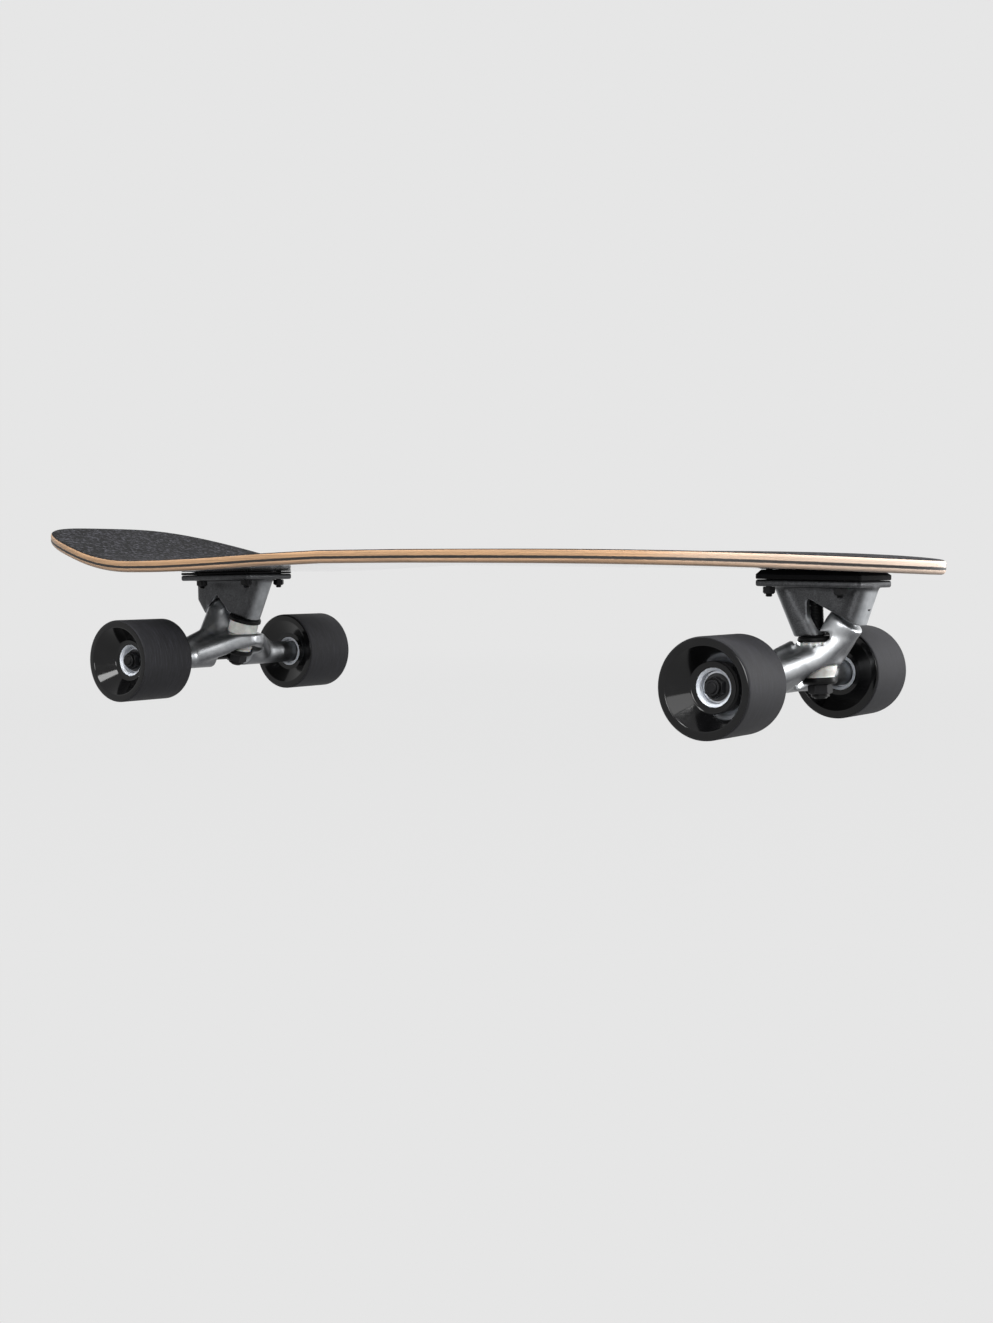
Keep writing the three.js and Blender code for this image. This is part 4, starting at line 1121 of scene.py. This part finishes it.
class BuildHangers(bpy.types.Operator):
    """Builds the cast hangers"""

    bl_idname = "skateboard.build_hangers"
    bl_label = "Hangers"

    def tube(self, axle):
        """The tube around the axle, fuller at its ends."""
        collar = HANGER_REACH - TUBE_COLLAR
        half = [(0, HANGER_REACH), (TUBE_END - SEAT_GAP, HANGER_REACH), (TUBE_END, HANGER_REACH - SEAT_GAP),
                (TUBE_END, collar), (TUBE_RADIUS, collar - TUBE_END)]
        return lathe("tube", [(r, -z) for r, z in half] + half[::-1], axle, [], 56)

    def nose(self, name):
        """The pivot's nose on its neck."""
        truck = TRUCKS[name]
        middle, rise = steering_line(name)
        neck, foot = truck["neck"], truck["mouth"] - SEAT_GAP * 2
        inside = CUP_RADIUS - CUP_WALL - SEAT_GAP
        tip = truck["mouth"] + CUP_LENGTH - CUP_WALL - SEAT_GAP
        start = neck_centre(name) - neck
        profile = [(0, start), (neck, start), (neck, foot - truck["neck_shoulder"]),
                   (truck["collar"], foot - truck["collar_drop"]), (inside + NOSE_TAPER, foot),
                   (inside, tip - inside), (inside / 2, tip - SEAT_GAP), (0, tip - SEAT_GAP)]
        return lathe("nose", rounded(profile, 0.8), turn_to(middle, rise), [], 48)

    def hollow(self, name, seat, radius, way, end):
        """The room around a bushing, flared where its washer swings."""
        room = TRUCKS[name]["seat_room"]
        profile = [(0, seat), (room, seat), (room, seat + way * WASHER_ROOM), (radius, seat + way * FLARE),
                   (radius, end), (0, end)]
        return lathe("hollow", profile, turn_to(*kingpin_line(name)), [], 56)

    def front_bodies(self):
        """Two straps that climb from the tube past the ring to the neck, and a brow across the front."""
        truck = TRUCKS["front"]
        down = kingpin_line("front")[1]
        middle, rise = steering_line("front")
        bevel, web, reach = STRAP_WIDTH / 4, truck["web"] / 2, FRONT_RING_RADIUS
        top, foot = middle - down * (web + FRONT_RING_TOP), middle + down * (web + FRONT_RING_FOOT)
        crown = circle(top, down, reach - bevel)
        ring = (crown + circle(top + down * bevel * 0.3, down, reach - bevel * 0.4)
                + circle(top + down * bevel, down, reach) + circle(foot, down, FRONT_RING_FOOT_RADIUS))
        neck = circle(middle + rise * neck_centre("front"), rise, truck["neck"])

        def place(key, side):
            out, drop, across, radius = FRONT_PADS[key]
            return pad((out, side * across, -drop), STRAP_WIDTH, radius, bevel)

        bodies = [wrapped(ring), wrapped(crown, place("brow", 1), place("brow", -1), place("root", 1))]
        for side in (-1, 1):
            for keys in (("start", "hip", "wing"), ("hip", "elbow"), ("elbow", "knee"),
                         ("brow_side", "brow_end", "root"), ("brow_side", "brow", "root")):
                bodies.append(wrapped(*(place(key, side) for key in keys)))
            bodies.append(wrapped(place("knee", side), neck))
        return bodies

    def rear_bodies(self):
        """A ring on two broad wings, and fins that climb from them to the neck."""
        truck = TRUCKS["rear"]
        axle = Vector((truck["axle"][0], 0, truck["axle"][1]))
        upright = Vector((0, 0, 1))
        pin, rise = steering_line("rear")
        middle = pin - upright * RING_SINK
        top, foot = middle + upright * RING_HEIGHT / 2, middle - upright * RING_HEIGHT / 2
        bevel, thick = FIN_THICKNESS / 4, truck["neck"]
        ring = []
        for centre, way in ((top, -1), (foot, 1)):
            for inset, drop in quarter_round(bevel):
                ring += circle(centre + upright * way * drop, upright, RING_RADIUS - inset)
        neck = pin + rise * neck_centre("rear")
        over = top.lerp(axle, 0.5)
        over.z = top.z
        bodies = [wrapped(ring), wrapped(circle(neck, rise, thick), circle(over, upright, thick),
                                         pad(axle, thick * 4, TUBE_RADIUS, bevel))]
        for side in (-1, 1):
            def fin(centre, reach, radius):
                return pad(centre + Vector((0, side * reach, 0)), FIN_THICKNESS, radius, bevel)

            low = fin(axle.lerp(neck, 0.25), WING_REACH, FIN_THICKNESS)
            across = fin(axle.lerp(neck, 0.5), WING_REACH / 2 + bevel, FIN_THICKNESS / 2)
            high = fin(neck, thick + bevel, FIN_THICKNESS / 2)
            bodies += [wrapped([p for p in ring if p.y * side > -bevel], fin(axle, WING_REACH, WING_RADIUS)),
                       wrapped(low, across, fin(axle, 0, FIN_THICKNESS)),
                       wrapped(low, fin(axle, WING_REACH + FIN_THICKNESS * 2, WING_RADIUS - bevel)),
                       wrapped(across, high, fin(axle, 0, FIN_THICKNESS))]
        stack = stack_of("rear")
        seat = [(0, stack["ring"]), (SEAT_BOSS, stack["ring"]), (SEAT_BOSS, stack["lower_bushing"]),
                (0, stack["lower_bushing"])]
        return bodies + [lathe("seat", seat, turn_to(*kingpin_line("rear")), [], 56)]

    def execute(self, context):
        grain = context.scene.truck_looks.hanger_grain
        ends = (HANGER_REACH - 4) * MM

        def hold(points):
            """Keeps the tube's faced ends still."""
            return np.clip((ends - np.abs(points[:, 1])) / (3 * MM), 0.0, 1)

        for name, bodies, reach in zip(TRUCK_NAMES, (self.front_bodies, self.rear_bodies), HANGER_PAINTED_SHEEN):
            truck, stack, kingpin = TRUCKS[name], stack_of(name), turn_to(*kingpin_line(name))
            axle = turn_to((truck["axle"][0], 0, truck["axle"][1]), (0, 1, 0))
            piece = gathered(f"{name}_hanger_cast", [self.tube(axle), *bodies()])
            reskin(piece, grain)
            soften(piece.data, 8, 40, hold)
            piece = gathered(f"{name}_hanger_cast", [piece, self.nose(name)])
            reskin(piece, grain)
            roof = truck["seat"] - WASHER_ROOM
            cut(piece, [self.hollow(name, stack["ring"] - SEAT_GAP, truck["upper_room"], -1, roof),
                        self.hollow(name, stack["lower_bushing"] + SEAT_GAP, truck["lower_room"], 1, THROUGH),
                        rod_tool(KINGPIN_ROOM, 0, truck["seat"], kingpin)])
            reskin(piece, grain)
            soften(piece.data, 3, 4, hold)
            cut(piece, [rod_tool(RING_BORE, 0, THROUGH, kingpin),
                        rod_tool(AXLE_RADIUS + SEAT_GAP, -THROUGH, THROUGH, axle)])

            def painted_sheen_mask(x, y, z, height):
                """Painted highlight on upward faces, painted shade on those facing down and outward."""
                return reach * eased(z - 0.3 * np.abs(x), -0.95, 0.15)

            finish_casting(piece, name, f"{name}_hanger", materials()["hanger"], painted_sheen_mask)
            settle(piece, f"{name}_hanger", "casting", f"{name}_hanger")
        return {"FINISHED"}


class BuildSteering(bpy.types.Operator):
    """Builds the kingpins, their nuts and washers, the bushings and the pivot cups"""

    bl_idname = "skateboard.build_steering"
    bl_label = "Steering stack"

    def washers(self, name, stack, place):
        """The two pressed cups."""
        for part, sheet, (outside, lip), way in (
            ("upper_washer", stack["upper_washer"] - SEAT_GAP / 2, UPPER_CUP, 1),
            ("lower_washer", stack["lower_washer"] + SEAT_GAP / 2 + WASHER_SHEET, LOWER_CUP, -1),
        ):
            face, rim = sheet + way * WASHER_SHEET, outside - WASHER_SHEET
            form = [(PIN_BORE, sheet), (outside - 0.9, sheet), (outside, face), (outside, face + way * lip),
                    (rim + 0.2, face + way * lip), (rim, face), (PIN_BORE, face), (PIN_BORE, sheet)]
            piece = lathe(f"{name}_{part}_pressed", rounded(form, 0.5), place, [materials()["oxide"]])
            settle(piece, "board", "black_steel", f"{name}_{part}")

    def bushings(self, name, stack, place):
        """The barrel and the cone, which sit between their washers and the hanger's ring."""
        wide, loose = BUSHING_RADIUS, PIN_BORE + BUSHING_PLAY
        top, ring = stack["upper_bushing"], stack["ring"] - SEAT_GAP
        barrel = [(PIN_BORE, top), (wide, top), (wide, ring), (loose, ring), (PIN_BORE, top + 1.5),
                  (PIN_BORE, top)]
        web, tip = stack["lower_bushing"] + 2 * SEAT_GAP, stack["lower_washer"]
        held = tip - LOWER_CUP[1] - 2 * SEAT_GAP
        cone = [(loose, web), (wide, web), (wide - 0.5, web + 3.4), (BUSHING_TIP, held), (BUSHING_TIP, tip),
                (PIN_BORE, tip), (PIN_BORE, tip - 1.5), (loose, web)]
        for part, form, ends in (("upper_bushing", barrel, (top, ring)), ("lower_bushing", cone, (tip, web))):
            form = spaced(rounded(form, 1.3, 6), 1.2)
            piece = lathe(f"{name}_{part}_cast", form, place, [materials()["bushing"]])
            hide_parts(f"{name}_{part}")
            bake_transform(piece)

    def shank(self, name, place, start, end, pitch=1.06, chamfer=0.7):
        """The kingpin's rod, with fine grooves for its thread and a chamfered end."""
        radius = KINGPIN_RADIUS
        profile = [(0.0, start), (radius, start)]
        for k in range(int((end - chamfer - start) / pitch)):
            base = start + k * pitch
            profile += [(radius, base + pitch * 0.1), (radius - 0.4, base + pitch * 0.5),
                        (radius, base + pitch * 0.9)]
        profile += [(radius, end - chamfer), (radius - chamfer, end), (0.0, end)]
        return lathe(f"{name}_kingpin_turned", profile, place, [materials()["oxide"]], segments=32)

    def execute(self, context):
        shades = materials()
        for name in TRUCK_NAMES:
            stack, place = stack_of(name), kingpin_place(name)
            self.washers(name, stack, place)
            self.bushings(name, stack, place)
            piece = hex_nut(f"{name}_kingpin_nut_forged", kingpin_place(name, stack["nut"] + SEAT_GAP),
                            KINGPIN_NUT, KINGPIN_NUT_HEIGHT - SEAT_GAP, KINGPIN_RADIUS + THREAD_PLAY,
                            shades["oxide"], collar=2.2)
            settle(piece, "board", "black_steel", f"{name}_kingpin_nut")
            head = hex_nut(f"{name}_kingpin_head", kingpin_place(name, 0.1), KINGPIN_HEAD,
                           KINGPIN_HEAD_DEPTH - 0.1, 2.0, shades["oxide"])
            shank = self.shank(name, place, 0.1, stack["end"] + 1.2)
            settle(shank, "board", "black_steel", f"{name}_kingpin")
            settle(head, "board", "black_steel")
            inside, floor = CUP_RADIUS - CUP_WALL, CUP_LENGTH - CUP_WALL
            form = [(inside + NOSE_TAPER, 0), (CUP_RADIUS, 0), (CUP_RADIUS, CUP_LENGTH), (0, CUP_LENGTH),
                    (0, floor), (inside / 2, floor), (inside, 6.0), (inside + NOSE_TAPER, 0)]
            mouth = steering_place(name, TRUCKS[name]["mouth"])
            piece = lathe(f"{name}_pivot_cup_moulded", rounded(form, 0.5), mouth, [shades["rubber"]], 48)
            settle(piece, "board", "rubber", f"{name}_pivot_cup")
        return {"FINISHED"}


class BuildMounting(bpy.types.Operator):
    """Builds the mounting bolts and nuts"""

    bl_idname = "skateboard.build_mounting"
    bl_label = "Mounting hardware"

    def bolt(self, name, place, top):
        """A countersunk bolt with a hexagon socket, and its thread showing under the nut."""
        foot, head = -BOLT_NUT_HEIGHT - 2.0, BOLT_HEAD_RADIUS
        rings = [(1.5, foot), (BOLT_RADIUS, foot + 0.5)]
        rise = foot + 0.7
        while rise < 3:
            rings += [(BOLT_RADIUS, rise), (BOLT_RADIUS - 0.3, rise + 0.4)]
            rise += 0.8
        rings += [(BOLT_RADIUS, rise), (BOLT_RADIUS, top - 2.7), (head - 0.1, top - 0.5), (head, top - 0.35),
                  (head - 0.15, top - 0.05), (head - 0.4, top), (hexagon(1.7), top),
                  (hexagon(1.6), top - 0.2), (hexagon(1.6), top - 1.8)]
        return loft(name, [hoop(place, *ring, 48) for ring in rings], [materials()["oxide"]], smooth=32.0)

    def execute(self, context):
        for name in TRUCK_NAMES:
            seat = truck_place(name)
            for i, (x, y) in enumerate(bolt_places(), 1):
                piece = self.bolt(f"{name}_mount_bolt_{i}_turned", seat @ Matrix.Translation((x, y, 0)),
                                  bolt_top(name, x, y))
                settle(piece, "board", "black_steel", f"{name}_mount_bolt_{i}")
                piece = hex_nut(f"{name}_mount_nut_{i}_forged", seat @ turn_to((x, y, -SEAT_GAP), (0, 0, -1)),
                                BOLT_NUT, BOLT_NUT_HEIGHT - SEAT_GAP, BOLT_RADIUS + THREAD_PLAY,
                                materials()["oxide"], collar=0.7)
                settle(piece, "board", "black_steel", f"{name}_mount_nut_{i}")
        return {"FINISHED"}


class BuildAxles(bpy.types.Operator):
    """Builds the axles and their nuts"""

    bl_idname = "skateboard.build_axles"
    bl_label = "Axles"

    def execute(self, context):
        oxide = materials()["oxide"]
        reach = AXLE_NUT_START + AXLE_NUT_HEIGHT + AXLE_STUB
        half = [(0, reach), (AXLE_RADIUS - 0.7, reach)]
        for k in range(6):
            edge = reach - 0.7 - k * 1.25
            half += [(AXLE_RADIUS, edge), (AXLE_RADIUS - 0.4, edge - 0.62)]
        half.append((AXLE_RADIUS, reach - 8.4))
        profile = [(radius, -along) for radius, along in half] + half[::-1]
        for name in TRUCK_NAMES:
            body, centre = f"{name}_hanger", axle_place(name)
            settle(lathe(f"{name}_axle_ground", profile, turn_to(centre, (0, 1, 0)), [oxide], 48), body,
                   "black_steel", f"{name}_axle")
            for side, out in SIDES:
                place = turn_to(centre + Vector((0, out * AXLE_NUT_START, 0)), (0, out, 0))
                piece = hex_nut(f"{name}_{side}_axle_nut_forged", place, AXLE_NUT, AXLE_NUT_HEIGHT,
                                AXLE_RADIUS + THREAD_PLAY, oxide, collar=2.0)
                settle(piece, body, "black_steel", f"{name}_{side}_axle_nut")
        return {"FINISHED"}


def wheel_places():
    """Each wheel's body, the point midway between its bearings, and which way is out."""
    for name in TRUCK_NAMES:
        for side, out in SIDES:
            yield f"{name}_{side}", axle_place(name) + Vector((0, out * BEARING_MIDDLE, 0)), out


class BuildWheels(bpy.types.Operator):
    """Builds the urethane wheels with their cores"""

    bl_idname = "skateboard.build_wheels"
    bl_label = "Wheels"

    def execute(self, context):
        shades = materials()
        lip_round = context.scene.wheel_looks.lip_round / MM
        outer, inner, spacing = 31.7, -22.3, BEARING_SPACING / 2 - 0.08
        seat, core, hub, lip = 11.08, 13.25, 17.0, 28.7
        inner_face, outer_face, stop = inner + 6.8, outer - 14.5, seat - 1.6
        form = [(core, inner_face), (hub, inner_face), (lip, inner), (WHEEL_RADIUS, inner),
                (WHEEL_RADIUS, outer), (lip, outer), (hub, outer_face), (core, outer_face),
                (core, inner_face)]
        radii = [0, 1.6, 1.8, lip_round, lip_round, 1.8, 2.6, 0, 0]
        tube = [(seat, inner_face + 0.1), (core, inner_face + 0.1), (core, outer_face - 0.1),
                (seat, outer_face - 2.2), (seat, spacing), (stop, spacing), (stop, -spacing),
                (seat, -spacing), (seat, inner_face + 0.1)]

        def ground(a, b):
            return 0 if min(a[0], b[0]) > WHEEL_RADIUS - lip_round * 0.45 else 1

        for corner, centre, out in wheel_places():
            body, place = f"{corner}_wheel", turn_to(centre, (0, out, 0))
            piece = lathe(f"{body}_moulded", rounded(form, radii, 6), place,
                          [shades["tread"], shades["face"]], 128, ground)
            settle(piece, body, "urethane", body)
            piece = lathe(f"{body}_core", rounded(tube, 0.35, 3), place, [shades["core"]], 96)
            settle(piece, body, "urethane")
        return {"FINISHED"}


class BuildBearings(bpy.types.Operator):
    """Builds the shielded ball bearings"""

    bl_idname = "skateboard.build_bearings"
    bl_label = "Bearings"

    def execute(self, context):
        shades = materials()
        near, far = BEARING_SPACING / 2, BEARING_SPACING / 2 + BEARING_WIDTH
        bore, inner, outer = AXLE_RADIUS + 0.06, 6.1, 9.3
        form = [(bore, near), (BEARING_RADIUS, near), (BEARING_RADIUS, far), (outer, far), (outer, far - 0.5),
                (inner, far - 0.5), (inner, far), (bore, far), (bore, near)]

        def shield(a, b):
            return int(max(a[1], b[1]) < far - 0.25 and min(a[1], b[1]) > far - 0.9
                       and inner - 0.2 < (a[0] + b[0]) / 2 < outer + 0.2)

        for corner, centre, out in wheel_places():
            for part, way in (("outer", 1), ("inner", -1)):
                node = f"{corner}_{part}_bearing"
                piece = lathe(node + "_ground", rounded(form, 0.3, 3), turn_to(centre, (0, out * way, 0)),
                              [shades["steel"], shades["shield"]], 72, shield)
                settle(piece, f"{corner}_wheel", "steel", node)
        return {"FINISHED"}


class BuildStage(bpy.types.Operator):
    """Builds the floor, the backdrop, the lamps and the camera"""

    bl_idname = "skateboard.build_stage"
    bl_label = "Stage"

    def lamp(self, name, place, aim, size, power):
        light = bpy.data.lights.new(name, "AREA")
        light.shape = "RECTANGLE"
        light.size, light.size_y = size
        light.energy = power
        lamp = linked(name, light)
        lamp.location = place
        lamp.rotation_mode = "QUATERNION"
        lamp.rotation_quaternion = (Vector(aim) - Vector(place)).to_track_quat("-Z", "Y")

    def floor(self, colour, keep_shadow):
        """Paper that is plain for the camera, but for a light shadow near the board."""
        material, tree = new_material("matt_paper_floor")
        paper = ramp(tree, noise(tree, 2), (0.3, shifted(colour, -0.004)), (0.7, shifted(colour, 0.004)))
        lit = add(tree, "BsdfDiffuse", {"Color": paper}).outputs[0]
        plain = add(tree, "Emission", {"Color": linear(colour), "Strength": 1.0}).outputs[0]
        reach = add(tree, "VectorMath", {0: object_place(tree)}, operation="LENGTH").outputs["Value"]
        plainness = remap(tree, reach, 0.985 if keep_shadow else 1.0, 1.0, 0.3, 0.9)
        share = maths(tree, "MULTIPLY", seen_rays(tree), plainness)
        show(tree, {0: share, 1: lit, 2: plain}, "MixShader")
        rings = [hoop(Matrix(), radius, 0.0, 96) for radius in (300.0, 1500.0, 6000.0, 24000.0)]
        loft("floor", rings, [material])

    def world(self, colour):
        """White light all round, which the camera, gloss and clear bodies see as the plain backdrop."""
        world = bpy.data.worlds.new("studio")
        world.use_nodes = True
        tree = world.node_tree
        tree.nodes.clear()
        light = add(tree, "Background", {"Color": linear("#ffffff"), "Strength": 0.42}).outputs[0]
        shown = add(tree, "Background", {"Color": linear(colour), "Strength": 1.0}).outputs[0]
        show(tree, {0: seen_rays(tree), 1: light, 2: shown}, "MixShader", "OutputWorld")
        bpy.context.scene.world = world

    def execute(self, context):
        scene = context.scene
        looks = scene.stage_looks
        self.floor(tuple(looks.backdrop), looks.keep_shadow)
        self.world(tuple(looks.backdrop))
        # Name, place and aim in metres, size, and power in watts
        for lamp in (
            ("key_softbox", (1.25, -0.75, 0.8), (0.2, 0, 0.06), (1.0, 0.9), 9),
            ("wheel_softbox", (0.95, -0.41, 1.35), (0.28, -0.12, 0.04), (0.14, 0.4), 4),
            ("right_strip", (1.15, 0.7, 0.35), (0.3, 0, 0.07), (0.1, 0.9), 18),
            ("top_softbox", (0.1, 0.2, 1.9), (0, 0, 0.1), (1.8, 0.7), 16),
            ("rear_softbox", (0.43, -0.88, 1.13), (-0.28, -0.12, 0.04), (0.5, 0.45), 10),
            ("low_fill", (0.4, -1.7, 0.3), (0, 0, 0.06), (0.7, 0.4), 9),
        ):
            self.lamp(*lamp)
        camera = bpy.data.cameras.new("camera")
        camera.sensor_width = SENSOR
        camera.lens = FOCAL_ROWS / PHOTO_ROWS * SENSOR
        camera.clip_start, camera.clip_end = 0.01, 60
        eye = linked("camera", camera)
        eye.location = CAMERA_PLACE
        eye.rotation_euler = [math.radians(angle) for angle in CAMERA_TURN]
        scene.camera = eye
        scene.view_settings.view_transform = "Standard"
        return {"FINISHED"}


OPERATORS = (BuildDeck, BuildRisers, BuildBaseplates, BuildHangers, BuildSteering, BuildMounting, BuildAxles,
             BuildWheels, BuildBearings, BuildStage)
GROUPS = {"deck_looks": DeckLooks, "truck_looks": TruckLooks, "wheel_looks": WheelLooks,
          "stage_looks": StageLooks}


class SkateboardPanel(bpy.types.Panel):
    """Lists the sizes, the colours and the build steps"""

    bl_idname = "VIEW3D_PT_skateboard"
    bl_label = "Surf skateboard"
    bl_space_type = "VIEW_3D"
    bl_region_type = "UI"
    bl_category = "Skateboard"

    def draw(self, context):
        for group, kind in GROUPS.items():
            box = self.layout.box()
            for key in kind.__annotations__:
                box.prop(getattr(context.scene, group), key)
        for step in OPERATORS:
            self.layout.operator(step.bl_idname)


def register():
    for kind in (*GROUPS.values(), *OPERATORS, SkateboardPanel):
        bpy.utils.register_class(kind)
    for name, kind in GROUPS.items():
        setattr(bpy.types.Scene, name, PointerProperty(type=kind))


def unregister():
    for name in GROUPS:
        delattr(bpy.types.Scene, name)
    for kind in reversed((*GROUPS.values(), *OPERATORS, SkateboardPanel)):
        bpy.utils.unregister_class(kind)


def main():
    register()
    for step in OPERATORS:
        group, name = step.bl_idname.split(".")
        getattr(getattr(bpy.ops, group), name)()


if __name__ == "__main__":
    main()
